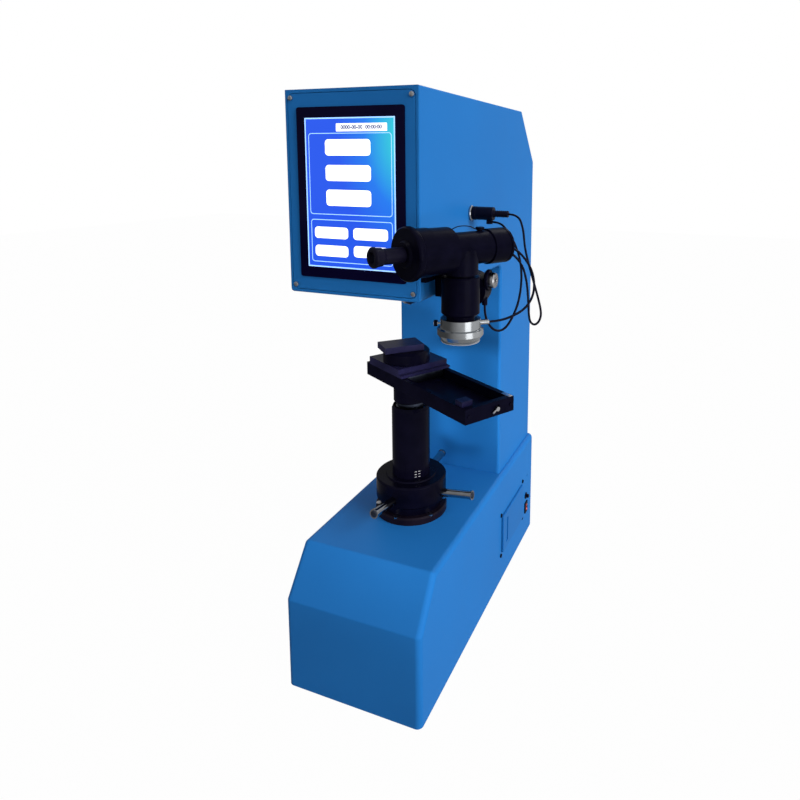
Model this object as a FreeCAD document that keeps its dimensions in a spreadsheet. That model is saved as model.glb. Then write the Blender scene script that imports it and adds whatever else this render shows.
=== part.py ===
"""Bench hardness tester: C-shaped body, elevating screw with cross-slide table, side microscope.

Frame: origin at the centre of the base's underside, +Z up, +X to the operator's right, +Y to the back.
All sizes are millimetres and degrees.
"""
import FreeCAD, Part
import Sketcher
import math
import os
from FreeCAD import Placement, Rotation, Vector

doc = FreeCAD.newDocument("HardnessTester")

SIZES = [
    # base
    ("base_width", 206, "base, left to right"),
    ("base_depth", 514, "base, front to back"),
    ("base_height", 192, "top of the base"),
    ("base_nose_height", 130, "vertical part of the base's front"),
    ("base_slope_run", 46, "how far the sloped front leans back"),
    ("base_wall", 8, "casting wall of the base"),
    ("base_edge_radius", 5, "rounded edges across the base"),
    ("base_side_radius", 8.5, "rounded edges along the base's sides"),
    ("foot_plate_thickness", 5, "plate that closes the base from below"),
    ("foot_post_side", 16, "corner posts that take the foot plate's screws"),
    ("foot_post_height", 40, "top of the corner posts"),
    # column and head
    ("head_width", 188, "column and head, left to right"),
    ("head_front", 233, "head's front face, ahead of the middle of the base"),
    ("head_bottom", 559, "underside of the head"),
    ("head_top", 816, "top of the head"),
    ("column_front", 72, "column's front face, behind the middle of the base"),
    ("column_back", 252, "column's rear face"),
    ("shoulder_y", 173.5, "where the top slopes down to the back"),
    ("shoulder_z", 729, "where the slope meets the rear face"),
    ("throat_radius", 12, "inner corner where head and column meet"),
    ("head_edge_radius", 4.5, "rounded lower edges of the head"),
    ("fine_edge_radius", 2, "fine rounding of the head's and column's other edges"),
    ("head_wall", 8, "casting wall of column and head"),
    ("head_floor", 12, "thicker floor of the head"),
    ("rear_opening_width", 140, "service opening in the column's back"),
    ("rear_opening_low", 232, "service opening, lower edge"),
    ("rear_opening_high", 700, "service opening, upper edge"),
    ("cover_thickness", 3, "sheet covers"),
    ("cover_overlap", 9, "how far a cover reaches past its opening"),
    ("column_bolt_radius", 6, "bolts that hold the column on the base"),
    # front panel and screen
    ("panel_width", 178, "front panel"),
    ("panel_height", 247, "front panel"),
    ("panel_corner", 8, "front panel's corner radius"),
    ("panel_thickness", 3, "front panel"),
    ("panel_groove", 0.7, "gap around the panel in its recess"),
    ("panel_screw_inset", 4.3, "panel screws, in from the sides"),
    ("panel_screw_rise", 5.3, "panel screws, in from top and bottom"),
    ("glass_width", 151, "touch screen's black-edged glass"),
    ("glass_height", 213, "touch screen's glass"),
    ("glass_thickness", 2, "touch screen's glass"),
    ("screen_depth", 8, "display unit behind the glass"),
    ("screen_margin", 3, "display unit inside the glass's outline"),
    ("board_gap", 9, "standoffs between display and board"),
    ("board_thickness", 1.6, "control board"),
    ("supply_width", 98, "power supply in the column"),
    ("supply_depth", 44, "power supply"),
    ("supply_height", 180, "power supply"),
    ("supply_rise", 20, "power supply, above the column's foot flange"),
    # elevating screw
    ("screw_y", 75.7, "screw and spindle axis, ahead of the middle of the base"),
    ("flange_radius", 55, "guide flange on the base"),
    ("flange_height", 11, "guide flange above the base"),
    ("flange_tube_radius", 32, "guide tube below the flange"),
    ("flange_tube_length", 62, "guide tube, down from the base's top"),
    ("flange_screw_circle", 50.5, "radius of the circle of flange screws"),
    ("wheel_radius", 54, "capstan handwheel"),
    ("wheel_neck_radius", 47, "handwheel's foot"),
    ("wheel_neck_height", 14, "conical foot of the handwheel"),
    ("wheel_above", 58, "handwheel's top face, above the base"),
    ("wheel_gap", 0.4, "running gap between handwheel and flange"),
    ("bearing_inner", 31, "thrust bearing, inner radius"),
    ("bearing_outer", 43, "thrust bearing, outer radius"),
    ("bearing_height", 8, "thrust bearing"),
    ("spoke_radius", 6, "handwheel spokes"),
    ("spoke_above", 34, "handwheel spokes' roots, above the base"),
    ("spoke_rise", 8, "how far the spokes lean up"),
    ("spoke_reach", 106, "handwheel spokes' tips from the axis"),
    ("spoke_angle", -3.5, "first spoke, turned left from +X"),
    ("sleeve_radius", 29, "nut sleeve above the handwheel"),
    ("sleeve_wall", 2.5, "nut sleeve"),
    ("sleeve_foot_above", 21, "nut sleeve's lower end, in the handwheel, above the base"),
    ("sleeve_above", 169, "nut sleeve's top, above the base"),
    ("nut_height", 36, "bronze nut in the sleeve's top"),
    ("lead_screw_radius", 22.5, "elevating screw"),
    ("lead_screw_below", 94, "elevating screw's lower end, below the base's top"),
    ("spigot_radius", 16, "elevating screw's top spigot in the table boss"),
    ("spigot_height", 22, "elevating screw's top spigot"),
    ("keyway_width", 8, "keyway along the screw's back"),
    ("keyway_depth", 4, "keyway"),
    ("screw_gap", 0.06, "running gap of screw, nut and guide"),
    # table
    ("boss_radius", 26, "boss under the rail"),
    ("boss_above", 177, "boss's underside, above the base"),
    ("rail_foot_above", 208, "rail's underside, above the base"),
    ("rail_above", 228, "top of the rail's lips, above the base"),
    ("rail_floor", 6, "rail's floor"),
    ("rail_half_width", 41, "half of the rail's width"),
    ("rail_lip", 8, "rail's side lips"),
    ("rail_back", 60, "rail's end behind the screw"),
    ("rail_front", 187.5, "rail's end ahead of the screw, with its end plate"),
    ("end_plate", 8, "plates across the rail's ends"),
    ("rail_turn", 30, "rail, turned right from +X"),
    ("slide_gap", 0.3, "running gap of the carriage on the rail"),
    ("carriage_back", 48, "carriage behind the screw axis"),
    ("carriage_front", 34.5, "carriage ahead of the screw axis"),
    ("carriage_half_width", 43, "half of the carriage's width"),
    ("carriage_above", 240, "carriage's top, above the base"),
    ("apron", 7.5, "low plate ahead of the carriage"),
    ("apron_thickness", 4, "low plate ahead of the carriage"),
    ("shoe_inset", 5, "carriage shoe, in from the carriage's ends"),
    ("stop_start", 164, "end stop on the rail, from the screw axis"),
    ("stop_length", 14, "end stop"),
    ("stop_width", 17, "end stop"),
    ("stop_height", 7, "end stop above the rail"),
    ("pedestal_radius", 35, "round pedestal on the carriage"),
    ("pedestal_above", 258, "pedestal's top, above the base"),
    ("pedestal_along", 0, "pedestal's axis along the rail"),
    ("pedestal_across", -7, "pedestal's axis across the rail"),
    ("anvil_length", 60, "anvil plate"),
    ("anvil_width", 39, "anvil plate"),
    ("anvil_thickness", 9, "anvil plate"),
    ("anvil_turn", 43.5, "anvil plate, turned right from the body's axes"),
    ("anvil_offset", 9, "anvil plate's middle, ahead of its pivot"),
    ("lock_radius", 3, "hub of the rail's locking lever"),
    ("lock_across", 11, "locking lever's axis, left of the rail's middle"),
    # spindle and drive in the head
    ("spindle_radius", 12, "press spindle"),
    ("spindle_foot", 545, "press spindle's lower face"),
    ("spindle_top", 640, "press spindle's upper face"),
    ("holder_radius", 14.5, "indenter holder"),
    ("holder_foot", 519.5, "indenter holder's underside"),
    ("ball_radius", 5, "indenter's ball"),
    ("guide_radius", 22, "spindle guide in the head's floor"),
    ("guide_flange_radius", 32, "spindle guide's flange"),
    ("cell_side", 50, "load cell"),
    ("cell_height", 30, "load cell"),
    ("crosshead_height", 28, "crosshead that the drive screw pushes"),
    ("crosshead_half_width", 50, "half of the crosshead's width"),
    ("crosshead_half_depth", 21, "half of the crosshead's depth"),
    ("post_radius", 6, "guide posts"),
    ("post_spread", 40, "guide posts from the axis"),
    ("frame_half_width", 62, "half of the loading frame's width"),
    ("frame_plate", 10, "loading frame's floor plate"),
    ("frame_side", 8, "loading frame's side plates"),
    ("frame_top", 748, "underside of the loading frame's top plate"),
    ("frame_top_plate", 12, "loading frame's top plate"),
    ("frame_half_depth", 45, "half of the loading frame's depth at the axis"),
    ("drive_screw_radius", 8, "drive screw"),
    ("motor_side", 56, "drive motor"),
    ("motor_length", 66, "drive motor"),
    ("motor_distance", 85, "drive motor's axis behind the spindle"),
    ("motor_shaft_radius", 4, "drive motor's shaft"),
    ("big_pulley_radius", 34, "pulley on the drive screw"),
    ("small_pulley_radius", 11.333, "pulley on the motor"),
    ("pulley_rim", 3.5, "pulley rims beyond the belt's seat"),
    ("pulley_foot", 766, "pulleys' underside"),
    ("pulley_height", 16, "pulleys"),
    ("belt_thickness", 1.8, "drive belt"),
    ("belt_width", 10, "drive belt"),
    # microscope
    ("scope_x", 138.5, "microscope's tube axis"),
    ("scope_y", 214, "microscope's tube axis, ahead of the middle of the base"),
    ("scope_turn", 60, "microscope's body, turned left from +X"),
    ("scope_z", 625.2, "axis of the microscope's body"),
    ("tube_radius", 23.4, "black sleeve of the bracket"),
    ("tube_foot", 545, "sleeve's lower face"),
    ("barrel_radius", 17, "inner barrel"),
    ("barrel_foot", 541, "inner barrel's lower face, on the ring light"),
    ("focus_room", 4.3, "room under the prism housing for focusing"),
    ("prism_radius", 28.5, "round prism housing behind the measuring ring"),
    ("prism_front", 69.5, "prism housing's front, ahead of the tube's axis"),
    ("prism_step", 50, "prism housing's rim, ahead of the tube's axis"),
    ("prism_back", 20, "prism housing's rear shoulder, ahead of the tube's axis"),
    ("prism_cone", 5, "length of the shoulder's cone"),
    ("body_radius", 20.2, "microscope's body between prism housing and illuminator"),
    ("collar_radius", 21.4, "collar under the microscope's body, above the sleeve"),
    ("focus_gap", 2.8, "gap between the sleeve's top and the collar"),
    ("lamp_start", 38.5, "illuminator's front, behind the tube's axis"),
    ("lamp_radius", 22, "illuminator"),
    ("lamp_end", 69.5, "illuminator's rear face, behind the tube's axis"),
    ("ring_disc_radius", 31.2, "measuring ring"),
    ("ring_disc_thickness", 9, "measuring ring"),
    ("eye_tube_radius", 9, "eyepiece tube"),
    ("eye_end", 121.5, "eyepiece's outer end, ahead of the tube's axis"),
    ("light_radius", 28.2, "ring light"),
    ("light_neck_radius", 24.5, "ring light's upper part"),
    ("light_step", 528.5, "ring light's step"),
    ("light_chamfer", 521.5, "start of the ring light's lower chamfer"),
    ("light_foot", 513, "ring light's underside"),
    ("light_mouth", 20, "ring light's opening"),
    ("arm_radius", 22, "round end of the bracket's arm"),
    ("arm_x", 139.5, "centre of the arm's round end"),
    ("arm_z", 571, "centre of the arm's round end"),
    ("arm_front", 190, "arm's front face, ahead of the middle of the base"),
    ("arm_back", 166, "arm's rear face"),
    ("wall_plate_thickness", 7, "bracket's plate on the head's side"),
    ("wall_plate_back", 128, "bracket plate's rear edge"),
    ("wall_plate_front", 190, "bracket plate's lower front edge"),
    ("wall_plate_step", 584, "where the plate widens forward"),
    ("wall_plate_top", 628, "bracket plate's top"),
    ("wall_plate_reach", 215, "front edge of the plate's upper part, behind the prism housing"),
    ("wall_plate_ledge", 604, "plate's ledge below the prism housing"),
    ("arm_foot", 10, "lower faces of the plate and of the arm's bar, above the round end's lowest point"),
    ("knob_y", 178, "focus knobs' axis, ahead of the middle of the base"),
    ("knob_z", 583, "focus knobs' axis"),
    ("coarse_radius", 13, "coarse focus knob"),
    ("fine_radius", 9.5, "fine focus knob"),
    # socket and leads
    ("plug_y", 68, "lead socket's axis, ahead of the middle of the base"),
    ("plug_z", 656.3, "lead socket's axis"),
    ("plug_ring_radius", 10.5, "socket's chrome ring"),
    ("plug_radius", 9.3, "plug's barrel"),
    ("plug_end", 128.6, "plug barrel's outer end"),
    ("boot_radius", 4.3, "plug's rubber boot"),
    ("boot_end", 150.4, "boot's outer end"),
    ("lead_radius", 1.5, "leads"),
    # base fittings
    ("side_panel_length", 120, "service panel on the base's right side"),
    ("side_panel_height", 68, "service panel"),
    ("side_panel_y", 125, "service panel's middle"),
    ("side_panel_rise", 4, "how far the service panel stands out"),
    ("side_panel_z", 85, "service panel's middle"),
    ("switch_y", 212, "mains switch's middle"),
    ("switch_z", 58, "mains switch's middle"),
    ("switch_width", 15, "mains switch's frame"),
    ("switch_height", 21, "mains switch's frame"),
    ("inlet_z", 81.5, "fuse holder's middle, above the switch"),
    # fasteners and fits
    ("small_screw_radius", 1.5, "panel and cover screws"),
    ("small_head_radius", 3.2, "panel and cover screws' heads"),
    ("small_head_height", 2, "panel and cover screws' heads"),
    ("bolt_radius", 2.5, "machine screws"),
    ("bolt_head_radius", 4.3, "machine screws' heads"),
    ("bolt_head_height", 3, "machine screws' heads"),
    ("fit_gap", 0.03, "radial gap of fixed round fits"),
    ("running_gap", 0.05, "radial gap of running fits"),
]

sheet = doc.addObject("Spreadsheet::Sheet", "Sizes")
for row, (alias, value, meaning) in enumerate(SIZES, 1):
    sheet.set("A%d" % row, meaning)
    sheet.set("B%d" % row, str(value))
    sheet.setAlias("B%d" % row, alias)
doc.recompute()


class Size:
    """A length or angle that knows its number and the sheet formula that it comes from."""

    def __init__(self, number, formula):
        self.number = float(number)
        self.formula = formula

    def __add__(self, other):
        return Size(self.number + number_of(other), "(%s + %s)" % (self.formula, formula_of(other)))

    def __radd__(self, other):
        return Size(number_of(other) + self.number, "(%s + %s)" % (formula_of(other), self.formula))

    def __sub__(self, other):
        return Size(self.number - number_of(other), "(%s - %s)" % (self.formula, formula_of(other)))

    def __rsub__(self, other):
        return Size(number_of(other) - self.number, "(%s - %s)" % (formula_of(other), self.formula))

    def __mul__(self, other):
        return Size(self.number * number_of(other), "(%s * %s)" % (self.formula, formula_of(other)))

    __rmul__ = __mul__

    def __truediv__(self, other):
        return Size(self.number / number_of(other), "(%s / %s)" % (self.formula, formula_of(other)))

    def __neg__(self):
        return Size(-self.number, "(0 - %s)" % self.formula)


def number_of(value):
    return value.number if isinstance(value, Size) else float(value)


def formula_of(value):
    return value.formula if isinstance(value, Size) else "(%s)" % repr(float(value))


def cosine(angle):
    return Size(math.cos(math.radians(angle.number)), "cos(%s * 1 deg)" % angle.formula)


def sine(angle):
    return Size(math.sin(math.radians(angle.number)), "sin(%s * 1 deg)" % angle.formula)


class Sheet:
    """The sheet's sizes by name."""


S = Sheet()
for alias, value, meaning in SIZES:
    setattr(S, alias, Size(sheet.get(alias), "Sizes.%s" % alias))


def bind(thing, path, value):
    thing.setExpression(path, formula_of(value))


def put(thing, x, y, z):
    """Binds where a piece stands."""
    bind(thing, ".Placement.Base.x", x)
    bind(thing, ".Placement.Base.y", y)
    bind(thing, ".Placement.Base.z", z)
    return thing


def turn_right(thing, angle, x, y, z):
    """Stands a piece at a place, turned clockwise seen from above."""
    thing.Placement = Placement(Vector(), Rotation(Vector(0, 0, -1), number_of(angle)))
    bind(thing, ".Placement.Rotation.Angle", angle)
    return put(thing, x, y, z)


def aim(thing, direction, x, y, z):
    """Stands a turned piece with its axis along a direction."""
    thing.Placement = Placement(Vector(), Rotation(Vector(0, 0, 1), direction))
    return put(thing, x, y, z)


def corner_points(corners, index):
    """Where the outline's round corner starts and ends, with the turn's sign and half angle."""
    x, y, radius = corners[index]
    before = corners[index - 1]
    after = corners[(index + 1) % len(corners)]
    start = Vector(number_of(x) - number_of(before[0]), number_of(y) - number_of(before[1]), 0).normalize()
    end = Vector(number_of(after[0]) - number_of(x), number_of(after[1]) - number_of(y), 0).normalize()
    if not number_of(radius):
        return (x, y), (x, y), 0
    cut = radius * math.tan(start.getAngle(end) / 2)
    arrive = (x - cut * start.x, y - cut * start.y)
    leave = (x + cut * end.x, y + cut * end.y)
    return arrive, leave, math.copysign(1, start.cross(end).z)


def flat(point):
    return Vector(number_of(point[0]), number_of(point[1]), 0)


def arc_between(arrive, leave, centre_side, radius):
    """A sketch arc that runs anticlockwise between two points."""
    first, second = (arrive, leave) if centre_side > 0 else (leave, arrive)
    chord = flat(second) - flat(first)
    height = math.sqrt(max(number_of(radius) ** 2 - chord.Length ** 2 / 4, 0))
    middle = (flat(first) + flat(second)) / 2
    centre = middle + Vector(-chord.y, chord.x, 0).normalize() * height
    low = math.atan2(flat(first).y - centre.y, flat(first).x - centre.x)
    high = math.atan2(flat(second).y - centre.y, flat(second).x - centre.x)
    return Part.ArcOfCircle(Part.Circle(centre, Vector(0, 0, 1), number_of(radius)), low, high)


def draw(sketch, corners):
    """Draws one closed outline; a corner is (x, y) or (x, y, radius), and every size is bound."""
    corners = [(c + (0,)) if len(c) == 2 else c for c in corners]
    count = len(corners)
    ends = [corner_points(corners, i) for i in range(count)]
    base = sketch.GeometryCount
    lines = []
    for i in range(count):
        lines.append(Part.LineSegment(flat(ends[i][1]), flat(ends[(i + 1) % count][0])))
    arcs = {}
    for i in range(count):
        if ends[i][2]:
            arcs[i] = base + len(lines)
            lines.append(arc_between(ends[i][0], ends[i][1], ends[i][2], corners[i][2]))
    sketch.addGeometry(lines, False)
    rules = []
    bound = []

    def fix(element, end, point):
        for kind, value in zip(("DistanceX", "DistanceY"), point):
            bound.append((len(rules), value))
            rules.append(Sketcher.Constraint(kind, -1, 1, element, end, number_of(value)))

    for i in range(count):
        before = base + (i - 1) % count
        fix(base + i, 1, ends[i][1])
        if i not in arcs:
            rules.append(Sketcher.Constraint("Coincident", before, 2, base + i, 1))
            continue
        fix(before, 2, ends[i][0])
        first, second = (1, 2) if ends[i][2] > 0 else (2, 1)
        rules.append(Sketcher.Constraint("Coincident", before, 2, arcs[i], first))
        rules.append(Sketcher.Constraint("Coincident", arcs[i], second, base + i, 1))
        bound.append((len(rules), corners[i][2]))
        rules.append(Sketcher.Constraint("Radius", arcs[i], number_of(corners[i][2])))
    offset = sketch.ConstraintCount
    sketch.addConstraint(rules)
    for index, value in bound:
        bind(sketch, "Constraints[%d]" % (offset + index), value)


def sketch_on(body, role, corners=()):
    sketch = body.newObject("Sketcher::SketchObject", body.Name + "_outline")
    plane = [item for item in body.Origin.OriginFeatures if item.Role == role][0]
    sketch.AttachmentSupport = [(plane, "")]
    sketch.MapMode = "FlatFace"
    if corners:
        draw(sketch, corners)
    return sketch


def new_body(name):
    return doc.addObject("PartDesign::Body", name)


def padded(name, role, corners, length):
    """An outline pushed out along its plane's normal: +Z, -Y for XZ and +X for YZ."""
    body = new_body(name)
    pad = body.newObject("PartDesign::Pad", name + "_pad")
    pad.Profile = sketch_on(body, role, corners)
    bind(pad, "Length", length)
    doc.recompute()
    return body


def turned(name, profile):
    """A piece turned about its own Z axis from a list of (radius, height) corners."""
    body = new_body(name)
    spin = body.newObject("PartDesign::Revolution", name + "_turn")
    sketch = sketch_on(body, "XZ_Plane", profile)
    spin.Profile = sketch
    spin.ReferenceAxis = (sketch, ["V_Axis"])
    spin.Angle = 360
    doc.recompute()
    return body


def round_edges(body, radius, wanted, kind="Fillet"):
    """Rounds or bevels the edges of the body's last feature that the test picks."""
    last = body.Tip
    edges = ["Edge%d" % (i + 1) for i, edge in enumerate(last.Shape.Edges) if wanted(edge)]
    feature = body.newObject("PartDesign::" + kind, "%s_%s" % (body.Name, kind.lower()))
    feature.Base = (last, edges)
    bind(feature, "Radius" if kind == "Fillet" else "Size", radius)
    doc.recompute()
    return body


def lies_at(edge, axis, value):
    """Whether an edge lies in the plane axis = value."""
    low = getattr(edge.BoundBox, axis + "Min")
    high = getattr(edge.BoundBox, axis + "Max")
    return abs(low - number_of(value)) < 1e-3 and abs(high - number_of(value)) < 1e-3


def block(name, x, y, z):
    """A box between the given ends."""
    box = doc.addObject("Part::Box", name)
    for side, (low, high) in zip(("Length", "Width", "Height"), (x, y, z)):
        bind(box, side, Size(0, "0") + high - low)
    return put(box, x[0], y[0], z[0])


def rod(name, radius, start, length, direction=Vector(0, 0, 1)):
    """A cylinder from its start point along a direction."""
    bar = doc.addObject("Part::Cylinder", name)
    bind(bar, "Radius", radius)
    bind(bar, "Height", length)
    return aim(bar, direction, *start)


def ball(name, radius, centre):
    sphere = doc.addObject("Part::Sphere", name)
    bind(sphere, "Radius", radius)
    return put(sphere, *centre)


def fuse(name, *pieces):
    joined = doc.addObject("Part::MultiFuse", name)
    joined.Shapes = list(pieces)
    joined.Refine = True
    return joined


def gather(name, pieces):
    """Separate solids kept side by side."""
    group = doc.addObject("Part::Compound", name)
    group.Links = list(pieces)
    return group


def cut(name, base, *tools):
    result = doc.addObject("Part::Cut", name)
    result.Base = base
    result.Tool = tools[0] if len(tools) == 1 else gather(name + "_tools", tools)
    return result


def rounded_box(width, height, radius, middle_x=0, middle_y=0):
    """Corners of a rectangle with round corners."""
    half_w = Size(0, "0") + width / 2
    half_h = Size(0, "0") + height / 2
    return [(middle_x + a * half_w, middle_y + b * half_h, radius)
            for a, b in ((-1, -1), (1, -1), (1, 1), (-1, 1))]


NODES = []


def node(thing, label):
    """Marks a finished sub-part; its label names its file."""
    thing.Label = label
    NODES.append(thing)
    return thing


X = Vector(1, 0, 0)
Y = Vector(0, 1, 0)
Z = Vector(0, 0, 1)
PAST = 1
BACK = S.base_depth / 2
SCREW_Y = -S.screw_y


def screw_set(name, places, inward, head_radius, head_height, shank_radius, length):
    """Screws whose heads stand on a face at each place, with shanks going inward."""
    screws = []
    for index, place in enumerate(places):
        outward = inward.negative()
        head = rod("%s_head%d" % (name, index), head_radius, place, head_height, outward)
        shank = rod("%s_shank%d" % (name, index), shank_radius, place, length, inward)
        screws.append(fuse("%s_screw%d" % (name, index), head, shank))
    return gather(name, screws)


def screw_holes(name, places, inward, shank_radius, length):
    """Holes that take the shanks of a screw set, with the fixed fit's gap."""
    return [rod("%s_hole%d" % (name, i), shank_radius + S.fit_gap, place, length + S.fit_gap, inward)
            for i, place in enumerate(places)]


# Heights of what stands on the base
wheel_top = S.base_height + S.wheel_above
spoke_height = S.base_height + S.spoke_above
sleeve_foot = S.base_height + S.sleeve_foot_above
sleeve_top = S.base_height + S.sleeve_above
lead_screw_foot = S.base_height - S.lead_screw_below
boss_foot = S.base_height + S.boss_above
rail_bottom = S.base_height + S.rail_foot_above
rail_top = S.base_height + S.rail_above
carriage_top = S.base_height + S.carriage_above
pedestal_top = S.base_height + S.pedestal_above

# Base casting: a hollow wedge-nosed box with corner posts, open below
inner_back = BACK - S.base_wall
inner_side = S.base_width / 2 - S.base_wall
inner_roof = S.base_height - S.base_wall
base_outside = padded("base_outside", "YZ_Plane", [
    (-BACK, 0), (BACK, 0), (BACK, S.base_height),
    (-BACK + S.base_slope_run, S.base_height), (-BACK, S.base_nose_height)], S.base_width)
put(base_outside, -S.base_width / 2, 0, 0)
round_edges(base_outside, S.base_side_radius,
            lambda edge: edge.BoundBox.ZMax > PAST and edge.BoundBox.XLength < PAST)
round_edges(base_outside, S.base_edge_radius,
            lambda edge: edge.BoundBox.ZMax > PAST and edge.BoundBox.XLength > S.base_width.number / 2)
base_inside = padded("base_inside", "YZ_Plane", [
    (-inner_back, -PAST), (inner_back, -PAST), (inner_back, inner_roof),
    (-inner_back + S.base_slope_run, inner_roof), (-inner_back, S.base_nose_height - S.base_wall / 2)],
    2 * inner_side)
put(base_inside, -inner_side, 0, 0)

foot_screw_x = inner_side - S.foot_post_side / 2
foot_screw_y = inner_back - S.foot_post_side / 2
foot_spots = [(a * foot_screw_x, b * foot_screw_y) for a in (-1, 1) for b in (-1, 1)]
foot_posts = [block("foot_post%d" % i,
                    (x - S.foot_post_side / 2 - PAST, x + S.foot_post_side / 2 + PAST),
                    (y - S.foot_post_side / 2 - PAST, y + S.foot_post_side / 2 + PAST),
                    (S.foot_plate_thickness, S.foot_post_height))
              for i, (x, y) in enumerate(foot_spots)]
foot_heads_z = S.bolt_head_height + PAST / 2
foot_places = [(x, y, foot_heads_z) for x, y in foot_spots]
foot_screw_length = S.foot_plate_thickness + 16

bolt_x = S.head_width / 2 - S.head_wall - 2.5 * S.column_bolt_radius
bolt_places = [(a * bolt_x, y, S.base_height + S.head_wall)
               for a in (-1, 1)
               for y in (S.column_front + S.head_wall + 2.5 * S.column_bolt_radius,
                         S.column_back - S.head_wall - 2.5 * S.column_bolt_radius)]
bolt_length = S.head_wall + S.base_wall + 12

side = S.base_width / 2
vent_hole = rod("vent_hole", 2, (side - S.base_wall - PAST, S.base_depth / 2 - 37.5, 120),
                S.base_wall + 2 * PAST, X)
panel_recess = padded("side_panel_recess", "YZ_Plane",
                      rounded_box(S.side_panel_length + 2 * S.panel_groove,
                                  S.side_panel_height + 2 * S.panel_groove, 4), S.cover_thickness + PAST)
put(panel_recess, side - S.cover_thickness, S.side_panel_y, S.side_panel_z)
panel_window = block("side_panel_window",
                     (side - S.base_wall - PAST, side + PAST),
                     (S.side_panel_y - S.side_panel_length / 2 + S.cover_overlap,
                      S.side_panel_y + S.side_panel_length / 2 - S.cover_overlap),
                     (S.side_panel_z - S.side_panel_height / 2 + S.cover_overlap,
                      S.side_panel_z + S.side_panel_height / 2 - S.cover_overlap))
switch_body_width = S.switch_width - 4
switch_body_height = S.switch_height - 4
switch_hole = block("switch_hole", (side - S.base_wall - PAST, side + PAST),
                    (S.switch_y - switch_body_width / 2, S.switch_y + switch_body_width / 2),
                    (S.switch_z - switch_body_height / 2, S.switch_z + switch_body_height / 2))
inlet_radius = 4
inlet_hole = rod("inlet_hole", inlet_radius + S.fit_gap, (side - S.base_wall - PAST, S.switch_y, S.inlet_z),
                 S.base_wall + 2 * PAST, X)
side_screw_y = S.side_panel_length / 2 + 3.6
side_screw_z = S.side_panel_height / 2 + 3.6
side_places = [(side, S.side_panel_y + a * side_screw_y, S.side_panel_z + b * side_screw_z)
               for a in (-1, 1) for b in (-1, 1)]
small_length = S.cover_thickness + 4
tube_hole = rod("tube_hole", S.flange_tube_radius + S.fit_gap, (0, SCREW_Y, inner_roof - PAST),
                S.base_wall + 2 * PAST)
flange_bolts = 6
flange_angles = [30 + 360 / flange_bolts * i for i in range(flange_bolts)]
flange_top = S.base_height + S.flange_height
flange_places = [(S.flange_screw_circle * math.cos(math.radians(a)),
                  SCREW_Y + S.flange_screw_circle * math.sin(math.radians(a)),
                  flange_top - S.bolt_head_height - 0.2) for a in flange_angles]
flange_screw_length = S.flange_height + 3

base_shell = cut("base_shell", base_outside, base_inside)
base_body = fuse("base_body", base_shell, *foot_posts)
node(cut("base_cut", base_body, vent_hole, panel_recess, panel_window, switch_hole, inlet_hole, tube_hole,
         *screw_holes("foot", foot_places, Z, S.bolt_radius, foot_screw_length),
         *screw_holes("column_bolt", bolt_places, -Z, S.column_bolt_radius, bolt_length),
         *screw_holes("side", side_places, -X, S.small_screw_radius, small_length),
         *screw_holes("flange", flange_places, -Z, S.bolt_radius, flange_screw_length)),
     "base_housing")

foot_edge = 0.4
foot_plate = block("foot_plate", (-inner_side + foot_edge, inner_side - foot_edge),
                   (-inner_back + foot_edge, inner_back - foot_edge), (0, S.foot_plate_thickness))
foot_wells = [rod("foot_well%d" % i, S.bolt_head_radius + 0.5, (x, y, -PAST), foot_heads_z + PAST)
              for i, (x, y) in enumerate(foot_spots)]
node(cut("foot_plate_cut", foot_plate, *foot_wells,
         *screw_holes("foot_plate", foot_places, Z, S.bolt_radius, foot_screw_length)), "base_plate")
foot_screws = screw_set("foot_screws", foot_places, Z, S.bolt_head_radius, S.bolt_head_height,
                        S.bolt_radius, foot_screw_length)
node(screw_set("column_bolt_set", bolt_places, -Z, 1.6 * S.column_bolt_radius, S.column_bolt_radius,
               S.column_bolt_radius, bolt_length), "column_bolts")

# Column and head: one hollow C-shaped casting
front = -S.head_front
head_outside = padded("head_outside", "YZ_Plane", [
    (S.column_front, S.base_height), (S.column_back, S.base_height), (S.column_back, S.shoulder_z),
    (S.shoulder_y, S.head_top), (front, S.head_top), (front, S.head_bottom),
    (S.column_front, S.head_bottom, S.throat_radius)], S.head_width)
put(head_outside, -S.head_width / 2, 0, 0)
round_edges(head_outside, S.head_edge_radius,
            lambda edge: lies_at(edge, "Z", S.head_bottom) and edge.BoundBox.YLength > S.throat_radius.number)
round_edges(head_outside, S.fine_edge_radius,
            lambda edge: (lies_at(edge, "X", 0) or lies_at(edge, "X", S.head_width))
            and edge.BoundBox.ZMax > S.base_height.number + PAST)
wall = S.head_wall
head_inside = padded("head_inside", "YZ_Plane", [
    (S.column_front + wall, S.base_height + wall), (S.column_back - wall, S.base_height + wall),
    (S.column_back - wall, S.shoulder_z - wall / 2), (S.shoulder_y - wall / 2, S.head_top - wall),
    (front + wall, S.head_top - wall), (front + wall, S.head_bottom + S.head_floor),
    (S.column_front + wall, S.head_bottom + S.head_floor)], S.head_width - 2 * wall)
put(head_inside, wall - S.head_width / 2, 0, 0)

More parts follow.
